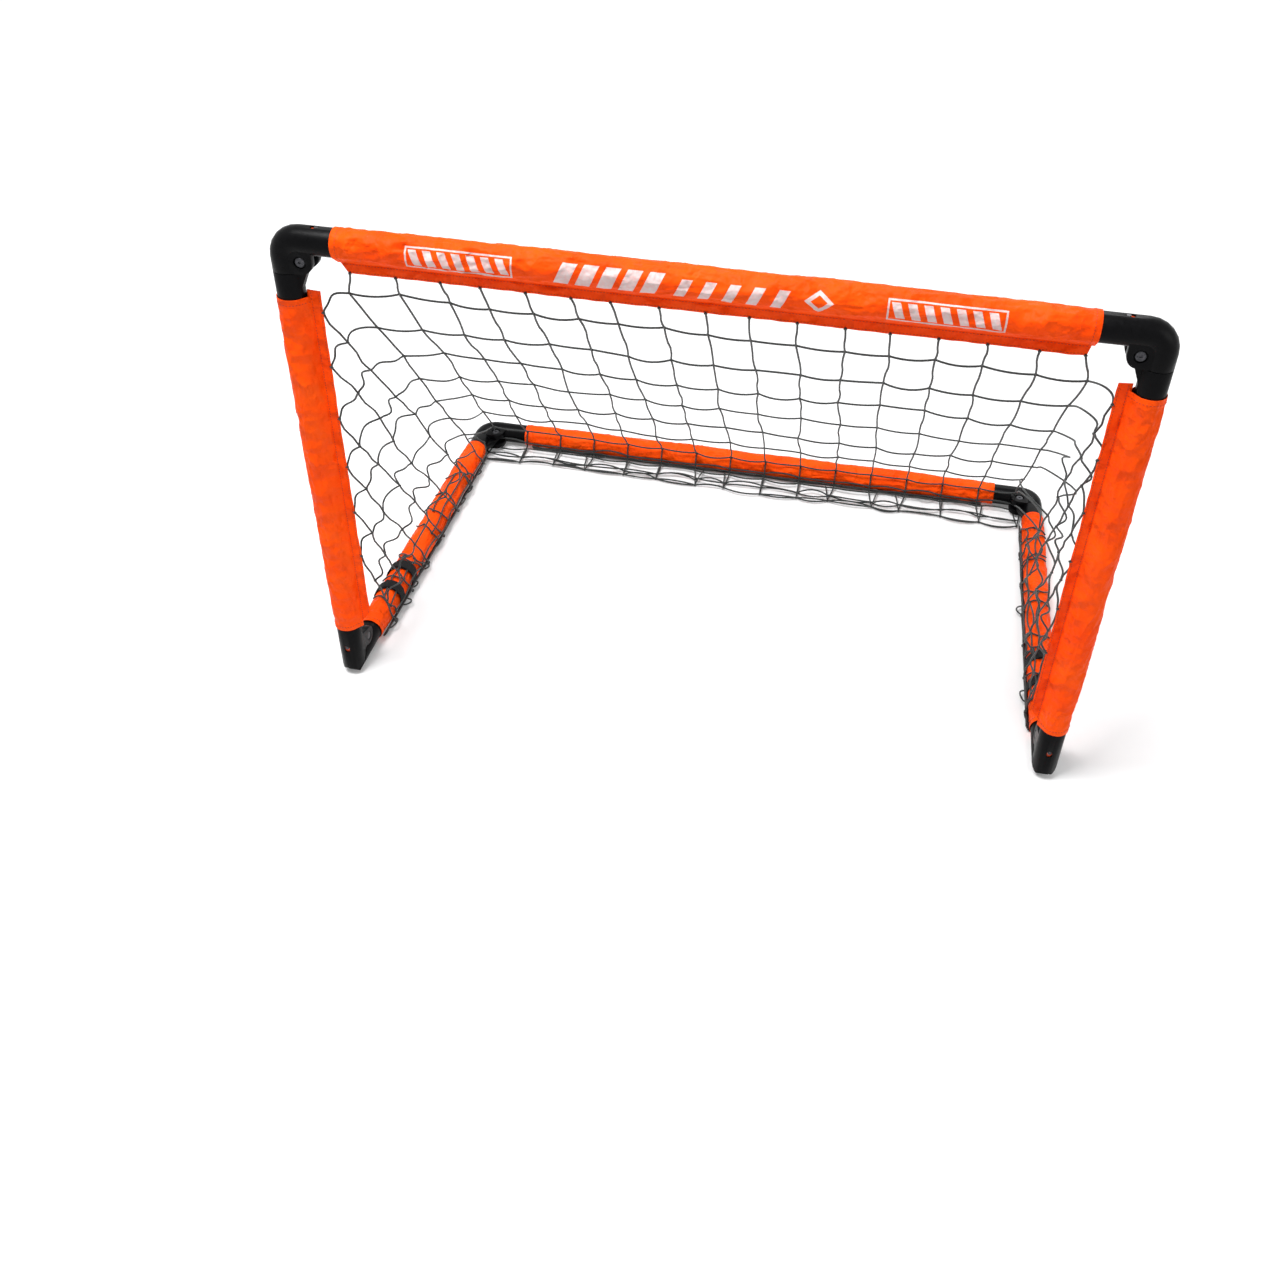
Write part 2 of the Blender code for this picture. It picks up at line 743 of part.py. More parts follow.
def make_long_bar(prefix, height_y, height_z, arm_direction, sleeve_start, body, head_side, pads):
    """One long bar with its tube, sleeve, elbows, pivots and screws: the crossbar or rear bar."""
    outward = -Vector(arm_direction)
    tube_end = POST_X - ELBOW_BORE_START - 0.0015
    sleeve_end = POST_X - sleeve_start
    screw_x = POST_X - ELBOW_SCREW_AT
    screw_points = []
    for side, side_name in SIDE_NAMES.items():
        corner = frame((side * POST_X, height_y, height_z), (-side, 0, 0), arm_direction)
        fitting_name = f"{prefix['elbow']}_{side_name}_elbow"
        pad = None
        if pads:
            pad_x = sorted(side * (POST_X - along) for along in REAR_PAD_ALONG_BAR)
            pad_low = (pad_x[0], height_y - REAR_PAD_ALONG_ARM[1], 0.0)
            pad_high = (pad_x[1], height_y - REAR_PAD_ALONG_ARM[0], PAD_TOP)
            pad = box(f"{fitting_name}_pad", Matrix.Identity(4), pad_low, pad_high)
        elbow(fitting_name, corner, body, pad)
        pivot = corner @ Vector((PIVOT_INSET, PIVOT_INSET, 0))
        pivot_bolt(f"{prefix['elbow']}_{side_name}", pivot, head_side, (1, 0, 0), body)
        screw_point = (side * screw_x, height_y, height_z)
        screw_points.append(screw_point)
        tube_screw(f"{prefix['bar']}_{side_name}_screw", screw_point, outward, (1, 0, 0), body)
    start = (-tube_end, height_y, height_z)
    end = (tube_end, height_y, height_z)
    steel_tube(f"{prefix['bar']}_tube", start, end, screw_points, outward, body)
    sleeve_ends = [(x, height_y, height_z) for x in (-sleeve_end, sleeve_end)]
    sleeve(f"{prefix['bar']}_sleeve", *sleeve_ends, body)
    if not pads:
        seam_flange(f"{prefix['bar']}_flange", *sleeve_ends, arm_direction, body)


def make_upright(side, body):
    """One upright: its upper socket, tube, sleeve and foot, with the hinge screws in the foot."""
    label = SIDE_NAMES[side]
    top_corner = frame((side * POST_X, FRONT_Y, BAR_Z), (-side, 0, 0), (0, 0, -1))
    low_corner = frame((side * POST_X, FRONT_Y, FLOOR_Z), (0, 1, 0), (0, 0, 1))
    arm_socket(f"{label}_upright_socket", top_corner, body)
    foot(f"{label}_foot", low_corner, body)
    hinge_screws(label, low_corner, body)
    tube_low = FLOOR_Z + FOOT_BORE_START + 0.0015
    tube_high = BAR_Z - ARM_BORE_START - 0.0015
    axis_x = side * POST_X
    foot_screw = (axis_x, FRONT_Y, FLOOR_Z + FOOT_SCREW_AT)
    socket_screw = (axis_x, FRONT_Y, BAR_Z - ARM_SCREW_AT)
    tube_screw(f"{label}_foot_screw", foot_screw, (0, -1, 0), (0, 0, 1), body)
    tube_screw(f"{label}_upright_screw", socket_screw, (side, 0, 0), (0, 0, 1), body)
    tube = steel_tube(
        f"{label}_upright_tube",
        (axis_x, FRONT_Y, tube_low),
        (axis_x, FRONT_Y, tube_high),
        [foot_screw],
        (0, -1, 0),
        body,
    )
    drill_name = f"{label}_upright_tube_side_drill"
    drill_middle = Vector(socket_screw) + Vector((side * TUBE_R, 0, 0))
    drill_place = Matrix.Identity(4)
    drill_axis = (side, 0, 0)
    drill = cylinder(
        drill_name, drill_place, drill_middle, drill_axis, TUBE_HOLE_R, 0.010, SCREW_SIDES
    )
    cut(tube, drill)
    sleeve_low = (axis_x, FRONT_Y, FLOOR_Z + FOOT_SLEEVE_START)
    sleeve_high = (axis_x, FRONT_Y, BAR_Z - ARM_SLEEVE_START)
    sleeve(f"{label}_upright_sleeve", sleeve_low, sleeve_high, body)
    seam_flange(f"{label}_upright_flange", sleeve_low, sleeve_high, (-side, 0, 0), body)


def make_side_bar(side, body):
    """One side bar of the ground frame, with its rear socket, hinge end, sleeve and straps."""
    label = SIDE_NAMES[side]
    rear_corner = frame((side * POST_X, REAR_Y, FLOOR_Z), (-side, 0, 0), (0, -1, 0))
    low_corner = frame((side * POST_X, FRONT_Y, FLOOR_Z), (0, 1, 0), (0, 0, 1))
    arm_socket(f"{label}_side_socket", rear_corner, body)
    hinge_end(f"{label}_side_hinge_end", low_corner, body)
    axis_x = side * POST_X
    tube_front = FRONT_Y + HINGE_BORE_START + 0.0015
    tube_rear = REAR_Y - ARM_BORE_START - 0.0015
    front_screw = (axis_x, FRONT_Y + HINGE_END_SCREW_AT, FLOOR_Z)
    rear_screw = (axis_x, REAR_Y - ARM_SCREW_AT, FLOOR_Z)
    tube_screw(f"{label}_side_front_screw", front_screw, (0, 0, 1), (0, 1, 0), body)
    tube_screw(f"{label}_side_rear_screw", rear_screw, (side, 0, 0), (0, 1, 0), body)
    tube = steel_tube(
        f"{label}_side_tube",
        (axis_x, tube_front, FLOOR_Z),
        (axis_x, tube_rear, FLOOR_Z),
        [front_screw],
        (0, 0, 1),
        body,
    )
    drill_name = f"{label}_side_tube_side_drill"
    drill_middle = Vector(rear_screw) + Vector((side * TUBE_R, 0, 0))
    drill_place = Matrix.Identity(4)
    drill_axis = (side, 0, 0)
    drill = cylinder(
        drill_name, drill_place, drill_middle, drill_axis, TUBE_HOLE_R, 0.010, SCREW_SIDES
    )
    cut(tube, drill)
    sleeve(
        f"{label}_side_sleeve",
        (axis_x, FRONT_Y + HINGE_SLEEVE_START, FLOOR_Z),
        (axis_x, REAR_Y - ARM_SLEEVE_START, FLOOR_Z),
        body,
    )
    for strap_name, strap_y in STRAP_PLACES.items():
        strap(f"{label}_{strap_name}", (axis_x, strap_y, FLOOR_Z), body)


def main():
    """Build the goal body by body."""
    pivot_x = POST_X - PIVOT_INSET
    front_crossbar = body_empty("front_crossbar", (0, FRONT_Y, BAR_Z))
    hinge_place = (0, FRONT_Y + HINGE_INSET, FLOOR_Z + HINGE_INSET)
    rear_bar = body_empty("rear_bar", hinge_place, front_crossbar)
    top_names = {"elbow": "top", "bar": "crossbar"}
    rear_names = {"elbow": "rear", "bar": "rear_bar"}
    make_long_bar(
        top_names,
        FRONT_Y,
        BAR_Z,
        (0, 0, -1),
        CROSSBAR_SLEEVE_START,
        front_crossbar,
        (0, -1, 0),
        pads=False,
    )
    make_long_bar(
        rear_names,
        REAR_Y,
        FLOOR_Z,
        (0, -1, 0),
        REAR_SLEEVE_START,
        rear_bar,
        (0, 0, 1),
        pads=True,
    )
    net_back(front_crossbar)
    for side, label in SIDE_NAMES.items():
        top_pivot = (side * pivot_x, FRONT_Y, BAR_Z - PIVOT_INSET)
        rear_pivot = (side * pivot_x, REAR_Y - PIVOT_INSET, FLOOR_Z)
        upright = body_empty(f"{label}_upright", top_pivot, front_crossbar)
        side_bar = body_empty(f"{label}_side_bar", rear_pivot, rear_bar)
        make_upright(side, upright)
        make_side_bar(side, side_bar)
        net_side(side, upright)


main()
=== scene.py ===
"""Looks of the folding soccer goal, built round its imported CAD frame.

Every size is in metres. Z is up, the goal mouth faces -Y, and the bars' places are read off the
CAD nodes. Fabric sleeves, seam flanges, netting and straps are made here. The tubes and fasteners
keep the meshes of their CAD nodes, and the moulded corners are copies with rounded edges.
"""

from __future__ import annotations

import json
import logging
import math
import random
from collections.abc import Iterator
from contextlib import contextmanager
from dataclasses import dataclass, field
from enum import Enum

import bmesh
import bpy
import numpy as np
from mathutils import Matrix, Vector, noise

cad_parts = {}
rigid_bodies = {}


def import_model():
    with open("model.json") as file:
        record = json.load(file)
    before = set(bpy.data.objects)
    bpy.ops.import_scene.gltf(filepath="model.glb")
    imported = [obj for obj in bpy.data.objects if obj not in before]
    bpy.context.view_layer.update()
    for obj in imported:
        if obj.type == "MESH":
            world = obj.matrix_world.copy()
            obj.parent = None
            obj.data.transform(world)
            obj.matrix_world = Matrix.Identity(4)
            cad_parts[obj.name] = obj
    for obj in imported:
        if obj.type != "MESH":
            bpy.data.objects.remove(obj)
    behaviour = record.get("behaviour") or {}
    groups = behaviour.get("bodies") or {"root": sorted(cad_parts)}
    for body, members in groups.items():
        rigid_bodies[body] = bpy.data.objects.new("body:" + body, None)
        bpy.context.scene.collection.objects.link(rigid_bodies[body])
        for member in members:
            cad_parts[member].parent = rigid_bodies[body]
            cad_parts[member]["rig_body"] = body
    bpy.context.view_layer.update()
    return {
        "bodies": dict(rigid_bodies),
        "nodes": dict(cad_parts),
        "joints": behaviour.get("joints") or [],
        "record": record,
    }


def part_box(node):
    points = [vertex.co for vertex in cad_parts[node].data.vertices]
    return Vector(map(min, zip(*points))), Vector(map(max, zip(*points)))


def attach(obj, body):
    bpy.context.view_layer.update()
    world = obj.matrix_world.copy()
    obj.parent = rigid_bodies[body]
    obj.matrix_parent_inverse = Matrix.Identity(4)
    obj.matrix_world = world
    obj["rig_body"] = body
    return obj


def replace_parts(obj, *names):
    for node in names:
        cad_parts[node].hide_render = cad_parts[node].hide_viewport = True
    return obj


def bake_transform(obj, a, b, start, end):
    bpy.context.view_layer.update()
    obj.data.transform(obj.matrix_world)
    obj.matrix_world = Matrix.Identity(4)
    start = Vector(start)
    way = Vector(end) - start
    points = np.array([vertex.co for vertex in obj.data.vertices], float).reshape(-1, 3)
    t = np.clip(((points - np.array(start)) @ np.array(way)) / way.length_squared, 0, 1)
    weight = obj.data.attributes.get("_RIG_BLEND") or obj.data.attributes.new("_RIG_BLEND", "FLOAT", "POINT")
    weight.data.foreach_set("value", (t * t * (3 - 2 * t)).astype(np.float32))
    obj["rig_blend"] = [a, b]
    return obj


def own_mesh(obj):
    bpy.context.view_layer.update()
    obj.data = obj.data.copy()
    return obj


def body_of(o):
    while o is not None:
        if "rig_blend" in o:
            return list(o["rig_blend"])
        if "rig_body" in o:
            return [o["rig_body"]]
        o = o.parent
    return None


Pair = tuple[float, float]
Triple = tuple[float, float, float]
Rgba = tuple[float, float, float, float]
Material = bpy.types.Material
Socket = bpy.types.NodeSocket

LOG = logging.getLogger("soccer_goal")
IMAGE_SIDE = 1280
DOWN = Vector((0, 0, -1))
WHITE = (1.0, 1.0, 1.0, 1.0)


class Side(Enum):
    """A side of the goal, as the sign of its X."""

    LEFT = -1
    RIGHT = 1

    @property
    def label(self) -> str:
        """The word that the CAD names use for this side."""
        return self.name.lower()


class Slot(Enum):
    """The record's material slots."""

    PLASTIC = "black_plastic"
    STEEL = "painted_steel"
    FABRIC = "orange_fabric"
    FASTENER = "black_steel"
    WEBBING = "black_webbing"
    TWINE = "dark_twine"


@dataclass(frozen=True)
class Bar:
    """The axis of one bar between the ends of its sleeve."""

    start: Vector
    end: Vector
    seam: Vector
    body: str

    @property
    def direction(self) -> Vector:
        """Unit vector from start to end."""
        return (self.end - self.start).normalized()

    @property
    def length(self) -> float:
        """Length of the sleeve."""
        return (self.end - self.start).length

    def around(self) -> Vector:
        """Unit vector square to the bar and to its seam."""
        return self.direction.cross(self.seam).normalized()


@dataclass(frozen=True)
class GoalFrame:
    """Places of the bars' axes, read off the CAD nodes."""

    post_x: float
    bar_z: float
    floor_z: float
    front_y: float
    rear_y: float

    @classmethod
    def measure(cls) -> "GoalFrame":
        """Read the frame off the tubes.

        Returns:
            The five numbers that place every bar.
        """
        low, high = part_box("right_upright_tube")
        bar_low, bar_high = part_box("crossbar_tube")
        rear_low, rear_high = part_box("rear_bar_tube")
        return cls(
            post_x=(low.x + high.x) / 2,
            bar_z=(bar_low.z + bar_high.z) / 2,
            floor_z=(rear_low.z + rear_high.z) / 2,
            front_y=(bar_low.y + bar_high.y) / 2,
            rear_y=(rear_low.y + rear_high.y) / 2,
        )

    def bar(self, node: str, axis: int, seam: Vector, body: str, slide: Pair) -> Bar:
        """The bar that a CAD sleeve covers.

        Args:
            node: Name of the sleeve's node.
            axis: Index of the axis that the bar runs along.
            seam: Direction from the axis to the seam flange.
            body: Body that the sleeve moves with.
            slide: How far the loose cloth has slipped along at its start and its end.

        Returns:
            The bar between the sleeve's ends.
        """
        low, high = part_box(node)
        tube_low, tube_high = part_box(node.replace("sleeve", "tube"))
        middle = (tube_low + tube_high) / 2
        start = middle.copy()
        end = middle.copy()
        start[axis] = low[axis] + slide[0]
        end[axis] = high[axis] + slide[1]
        return Bar(start, end, seam.normalized(), body)


class NodeBench:
    """Lays out the nodes of one material."""

    def __init__(self, name: str) -> None:
        """Start a material with only its shader and output."""
        self.material = bpy.data.materials.new(name)
        self.material.use_nodes = True
        self.tree = self.material.node_tree
        self.shader = self.tree.nodes["Principled BSDF"]

    def node(self, kind: str, inputs: dict | None = None, **settings: object) -> bpy.types.Node:
        """Add a node.

        Args:
            kind: The node's type without its ShaderNode prefix.
            inputs: What its sockets get, by their names or indexes.
            settings: Properties to set on it.

        Returns:
            The new node.
        """
        made = self.tree.nodes.new(f"ShaderNode{kind}")
        for key, value in settings.items():
            setattr(made, key, value)
        for key, value in (inputs or {}).items():
            self.feed(made.inputs[key], value)
        return made

    def feed(self, socket: Socket, value: object) -> None:
        """Link a socket to an output, or set its value."""
        if isinstance(value, Socket):
            self.tree.links.new(value, socket)
        else:
            socket.default_value = value

    def math(self, operation: str, first: object, second: object = 0.0) -> Socket:
        """Result of one arithmetic operation on two values."""
        return self.node("Math", {0: first, 1: second}, operation=operation).outputs[0]

    def place(self) -> Socket:
        """Object coordinates in metres."""
        return self.node("TexCoord").outputs["Object"]

    def chart(self) -> tuple[Socket, Socket]:
        """The piece's own coordinates: metres along it and metres round it."""
        split = self.node("SeparateXYZ", {0: self.node("UVMap").outputs["UV"]})
        return split.outputs["X"], split.outputs["Y"]

    def noise(self, where: object, scale: float, detail: float = 3.0) -> Socket:
        """Cloudy noise between 0 and 1.

        Args:
            where: Coordinates to read.
            scale: Features per metre.
            detail: Number of finer layers.

        Returns:
            The noise's value.
        """
        return self.node("TexNoise", {"Vector": where, "Scale": scale, "Detail": detail}).outputs["Fac"]

    def facets(
        self, where: object, scale: float, bend_scale: float = 0.6, bend_reach: float = 0.9
    ) -> Socket:
        """Height of a pattern of soft facets, as crumpled cloth has.

        Args:
            where: Socket with the position.
            scale: Facets per metre.
            bend_scale: Bends of the facets' edges for each facet.
            bend_reach: How far a bend moves an edge, in facets.

        Returns:
            The height, from 0 to about 1.
        """
        bend = self.node("TexNoise", {"Vector": where, "Scale": scale * bend_scale}).outputs["Color"]
        scaled = self.node("VectorMath", {0: bend, "Scale": bend_reach / scale}, operation="SCALE")
        moved = self.node("VectorMath", {0: where, 1: scaled.outputs["Vector"]}, operation="ADD")
        inputs = {"Vector": moved.outputs["Vector"], "Scale": scale, "Smoothness": 0.25}
        return self.node("TexVoronoi", inputs, feature="SMOOTH_F1").outputs["Distance"]

    def spread(self, value: object, low: float, high: float) -> Socket:
        """The middle half of a value between 0 and 1, stretched to run from low to high."""
        inputs = {"Value": value, "From Min": 0.25, "From Max": 0.75, "To Min": low, "To Max": high}
        return self.node("MapRange", inputs).outputs["Result"]

    def blend(self, factor: object, first: object, second: object) -> Socket:
        """First colour at 0 and second colour at 1."""
        return self.node("Mix", {0: factor, 6: first, 7: second}, data_type="RGBA").outputs[2]

    def bump(self, height: object, distance: float, under: object = None) -> Socket:
        """Normals of a fine relief.

        Args:
            height: Relief between 0 and 1.
            distance: Depth of the relief in metres.
            under: Normals of a relief below this one.

        Returns:
            The bumped normals.
        """
        inputs = {"Distance": distance, "Height": height}
        if under is not None:
            inputs["Normal"] = under
        return self.node("Bump", inputs).outputs["Normal"]

    def inside(self, value: object, low: float, high: float) -> Socket:
        """1 where value lies between low and high, else 0."""
        above = self.math("GREATER_THAN", value, low)
        below = self.math("LESS_THAN", value, high)
        return self.math("MULTIPLY", above, below)

    def ripple(self, value: object, per_metre: float) -> Socket:
        """A sine of value, between -1 and 1."""
        return self.math("SINE", self.math("MULTIPLY", value, per_metre))

    def tint(self, factor: object, first: tuple, second: tuple) -> Socket:
        """A blend of two display colours."""
        return self.blend(factor, colour(*first), colour(*second))

    def finish(
        self,
        shade: object,
        roughness: object,
        normal: object,
        metallic: float = 0.0,
        specular: float = 0.5,
        sheen: float = 0.0,
    ) -> Material:
        """Feed the shader.

        Args:
            shade: Base colour.
            roughness: Roughness, one number or an output.
            normal: Normals of the finest relief.
            metallic: Share of metal.
            specular: Specular level, where 0.5 is plain plastic.
            sheen: Weight of the fuzz.

        Returns:
            The finished material.
        """
        sockets = self.shader.inputs
        self.feed(sockets["Base Color"], shade)
        self.feed(sockets["Roughness"], roughness)
        self.feed(sockets["Normal"], normal)
        sockets["Metallic"].default_value = metallic
        sockets["Specular IOR Level"].default_value = specular
        sockets["Sheen Weight"].default_value = sheen
        return self.material


def colour(red: float, green: float, blue: float) -> Rgba:
    """A linear colour from display values between 0 and 255."""
    shades = []
    for value in (red, green, blue):
        share = value / 255
        linear = share / 12.92 if share <= 0.04045 else ((share + 0.055) / 1.055) ** 2.4
        shades.append(linear)
    return (*shades, 1.0)


@dataclass(frozen=True)
class MouldedPlastic:
    """Black plastic with a fine moulded grain and faint scuffs."""

    name: str = "black_moulded_plastic"
    dark: Triple = (6, 6, 7)
    scuffed: Triple = (17, 17, 19)
    clouds_per_metre: float = 22.0
    scratches_per_metre: float = 160.0
    roughness: Pair = (0.26, 0.38)
    specular: float = 0.06
    wave_depth: float = 0.0006
    grain_per_metre: float = 1500.0
    grain_depth: float = 0.00008

    def build(self) -> Material:
        """Make the material."""
        bench = NodeBench(self.name)
        where = bench.place()
        cloud = bench.noise(where, self.clouds_per_metre, 4.0)
        scratch = bench.noise(where, self.scratches_per_metre, 6.0)
        worn = bench.math("MULTIPLY", bench.spread(cloud, 0.0, 0.6), bench.spread(scratch, 0.0, 0.9))
        grain = bench.noise(where, self.grain_per_metre, 2.0)
        relief = bench.bump(grain, self.grain_depth, bench.bump(cloud, self.wave_depth))
        shade = bench.tint(worn, self.dark, self.scuffed)
        rough = bench.spread(scratch, *self.roughness)
        return bench.finish(shade, rough, relief, specular=self.specular)


@dataclass(frozen=True)
class PaintedSteel:
    """Orange powder coat on the steel tubes."""

    name: str = "orange_powder_coat"
    paint: Triple = (238, 84, 30)
    dull: Triple = (205, 62, 20)
    clouds_per_metre: float = 60.0
    roughness: float = 0.33
    peel_per_metre: float = 900.0
    peel_depth: float = 0.00005

    def build(self) -> Material:
        """Make the material."""
        bench = NodeBench(self.name)
        where = bench.place()
        cloud = bench.noise(where, self.clouds_per_metre, 4.0)
        shade = bench.tint(bench.spread(cloud, 0.0, 0.7), self.paint, self.dull)
        peel = bench.bump(bench.noise(where, self.peel_per_metre, 1.0), self.peel_depth)
        return bench.finish(shade, self.roughness, peel)


@dataclass(frozen=True)
class BlackenedSteel:
    """Black oxide on bolts, nuts and screws."""

    name: str = "black_oxide_steel"
    dark: Triple = (34, 34, 37)
    rubbed: Triple = (92, 92, 96)
    rubs_per_metre: float = 420.0
    rub_depth: float = 0.00006
    roughness: Pair = (0.28, 0.46)
    metallic: float = 0.85

    def build(self) -> Material:
        """Make the material."""
        bench = NodeBench(self.name)
        rub = bench.noise(bench.place(), self.rubs_per_metre, 5.0)
        shade = bench.tint(bench.spread(rub, 0.0, 0.7), self.dark, self.rubbed)
        rough = bench.spread(rub, *self.roughness)
        return bench.finish(shade, rough, bench.bump(rub, self.rub_depth), metallic=self.metallic)


@dataclass(frozen=True)
class Twine:
    """Dark braided twine of the netting."""

    name: str = "dark_braided_twine"
    dark: Triple = (14, 18, 18)
    light: Triple = (44, 49, 48)
    lay_per_metre: float = 420.0
    lay_depth: float = 0.00025
    fibres_per_metre: float = 900.0
    roughness: float = 0.72
    sheen: float = 0.15

    def build(self) -> Material:
        """Make the material."""
        bench = NodeBench(self.name)
        along, round_it = bench.chart()
        turn = bench.math("ADD", bench.math("MULTIPLY", along, self.lay_per_metre), round_it)
        ply = bench.ripple(turn, math.tau)
        fibre = bench.noise(bench.place(), self.fibres_per_metre, 3.0)
        # painted shade: the grooves between the plies are darker, multiplied with the fibres' own random
        # tone
        lit = bench.math("MULTIPLY", bench.spread(fibre, 0.1, 0.9), bench.spread(ply, 0.5, 1.0))
        shade = bench.tint(lit, self.dark, self.light)
        return bench.finish(shade, self.roughness, bench.bump(ply, self.lay_depth), sheen=self.sheen)


@dataclass(frozen=True)
class HookAndLoop:
    """Black hook-and-loop webbing with a fuzzy weave."""

    name: str = "black_hook_and_loop"
    dark: Triple = (7, 7, 8)
    fuzz: Triple = (24, 24, 26)
    ribs_per_metre: float = 700.0
    rib_depth: float = 0.0002
    loops_per_metre: float = 2600.0
    loop_depth: float = 0.0004
    roughness: float = 0.92
    specular: float = 0.2
    sheen: float = 0.04

    def build(self) -> Material:
        """Make the material."""
        bench = NodeBench(self.name)
        along, across = bench.chart()
        pitch = self.ribs_per_metre * math.tau
        weave = bench.math("MULTIPLY", bench.ripple(along, pitch), bench.ripple(across, pitch))
        pile = bench.noise(bench.place(), self.loops_per_metre, 4.0)
        shade = bench.tint(bench.spread(pile, 0.0, 0.8), self.dark, self.fuzz)
        relief = bench.bump(weave, self.rib_depth, bench.bump(pile, self.loop_depth))
        return bench.finish(shade, self.roughness, relief, specular=self.specular, sheen=self.sheen)


@dataclass(frozen=True)
class PrintBlock:
    """A row of slanted silver blocks printed on the fabric."""

    start: float
    end: float
    low: float
    high: float
    count: int
    fill: float
    slant: float
    border: float = 0.0
    gap_per_border: float = 1.9

    def mask(self, bench: NodeBench) -> Socket:
        """Where the silver lies.

        Args:
            bench: The material's bench.

        Returns:
            1 on the silver and 0 beside it.
        """
        along, round_it = bench.chart()
        rim = self.border
        gap = rim * self.gap_per_border
        rows = bench.inside(round_it, self.low + gap, self.high - gap)
        lean = (self.high - self.low - 2 * gap) * self.slant / 2
        first = self.start + gap + abs(lean)
        last = self.end - gap - abs(lean)
        pitch = (last - first) / (self.count - 1 + self.fill)
        middle = (self.low + self.high) / 2
        skew = bench.math("MULTIPLY", bench.math("SUBTRACT", round_it, middle), self.slant)
        phase = bench.math("SUBTRACT", along, skew)
        cell = bench.math("FRACT", bench.math("DIVIDE", bench.math("SUBTRACT", phase, first), pitch))
        bars = bench.math("LESS_THAN", cell, self.fill)
        run = bench.inside(phase, first, last)
        filled = bench.math("MULTIPLY", bench.math("MULTIPLY", run, rows), bars)
        if not rim:
            return filled
        whole = self.inset(bench, along, round_it, 0.0)
        frame = bench.math("SUBTRACT", whole, self.inset(bench, along, round_it, rim))
        return bench.math("ADD", frame, filled)

    def inset(self, bench: NodeBench, along: object, round_it: object, rim: float) -> Socket:
        """The block's rectangle, made smaller by rim on every side."""
        rows = bench.inside(round_it, self.low + rim, self.high - rim)
        return bench.math("MULTIPLY", bench.inside(along, self.start + rim, self.end - rim), rows)


@dataclass(frozen=True)
class PrintDiamond:
    """A silver diamond with a smaller diamond left bare in it."""

    along: float
    round_it: float
    half_length: float
    half_height: float
    bare: float

    def mask(self, bench: NodeBench) -> Socket:
        """1 on the silver and 0 beside it."""
        along, round_it = bench.chart()
        first = bench.math("ABSOLUTE", bench.math("SUBTRACT", along, self.along))
        second = bench.math("ABSOLUTE", bench.math("SUBTRACT", round_it, self.round_it))
        reach = bench.math("DIVIDE", first, self.half_length)
        reach = bench.math("ADD", reach, bench.math("DIVIDE", second, self.half_height))
        return bench.inside(reach, self.bare / self.half_length, 1.0)


@dataclass(frozen=True)
class SleeveFabric:
    """Bright orange polyester with a fine weave, and silver prints where it has any."""

    name: str = "orange_polyester"
    bright: Triple = (255, 86, 6)
    deep: Triple = (248, 68, 1)
    silver: Triple = (214, 204, 204)
    clouds_per_metre: float = 14.0
    threads_per_metre: float = 2200.0
    thread_depth: float = 0.00006
    crumples_per_metre: float = 55.0
    crumple_depth: float = 0.0050
    facets_per_metre: Pair = (26.0, 58.0)
    facet_depth: float = 0.0095
    fine_facet_share: float = 0.35
    foil_wear_per_metre: float = 240.0
    foil_cover: Pair = (1.0, 0.72)
    roughness: Pair = (0.46, 0.60)
    specular: float = 0.08
    prints: tuple[PrintBlock | PrintDiamond, ...] = ()

    def build(self) -> Material:
        """Make the material."""
        bench = NodeBench(self.name)
        where = bench.place()
        along, round_it = bench.chart()
        cloud = bench.noise(where, self.clouds_per_metre, 3.0)
        cloth = bench.tint(bench.spread(cloud, 0.0, 1.0), self.bright, self.deep)
        for block in self.prints:
            wear = bench.noise(where, self.foil_wear_per_metre, 4.0)
            shape = bench.math("MULTIPLY", block.mask(bench), bench.spread(wear, *self.foil_cover))
            cloth = bench.blend(shape, cloth, colour(*self.silver))
        threads = self.threads_per_metre
        weave = bench.math("MULTIPLY", bench.ripple(along, threads), bench.ripple(round_it, threads))
        crumple = bench.noise(where, self.crumples_per_metre, 3.0)
        broad, fine = self.facets_per_metre
        relief = bench.bump(bench.facets(where, broad), self.facet_depth)
        fine_depth = self.facet_depth * self.fine_facet_share
        relief = bench.bump(bench.facets(where, fine), fine_depth, relief)
        relief = bench.bump(crumple, self.crumple_depth, relief)
        relief = bench.bump(weave, self.thread_depth, relief)
        rough = bench.spread(crumple, *self.roughness)
        return bench.finish(cloth, rough, relief, specular=self.specular)


def seam_fabric() -> SleeveFabric:
    """The doubled fabric of a seam, a little deeper in colour: partly the doubled cloth, partly painted
    shade on the flange.
    """
    return SleeveFabric(name="orange_polyester_seam", bright=(252, 80, 4), deep=(240, 62, 0))


@dataclass(frozen=True)
class StitchThread:
    """Orange sewing thread."""

    name: str = "orange_thread"
    dark: Triple = (120, 26, 6)
    light: Triple = (172, 46, 12)
    fibres_per_metre: float = 1800.0
    fibre_depth: float = 0.0001
    roughness: float = 0.6

    def build(self) -> Material:
        """Make the material."""
        bench = NodeBench(self.name)
        fibre = bench.noise(bench.place(), self.fibres_per_metre, 2.0)
        shade = bench.tint(bench.spread(fibre, 0.0, 1.0), self.dark, self.light)
        return bench.finish(shade, self.roughness, bench.bump(fibre, self.fibre_depth))


def deselect_all() -> None:
    """Leave nothing selected."""
    if bpy.context.object and bpy.context.object.mode != "OBJECT":
        bpy.ops.object.mode_set(mode="OBJECT")
    bpy.ops.object.select_all(action="DESELECT")


def pick(obj: bpy.types.Object) -> None:
    """Make an object the only selected one and the active one."""
    deselect_all()
    obj.select_set(True)
    bpy.context.view_layer.objects.active = obj


def settle(obj: bpy.types.Object) -> None:
    """Apply an object's modifiers."""
    pick(obj)
    for modifier in list(obj.modifiers):
        bpy.ops.object.modifier_apply(modifier=modifier.name)


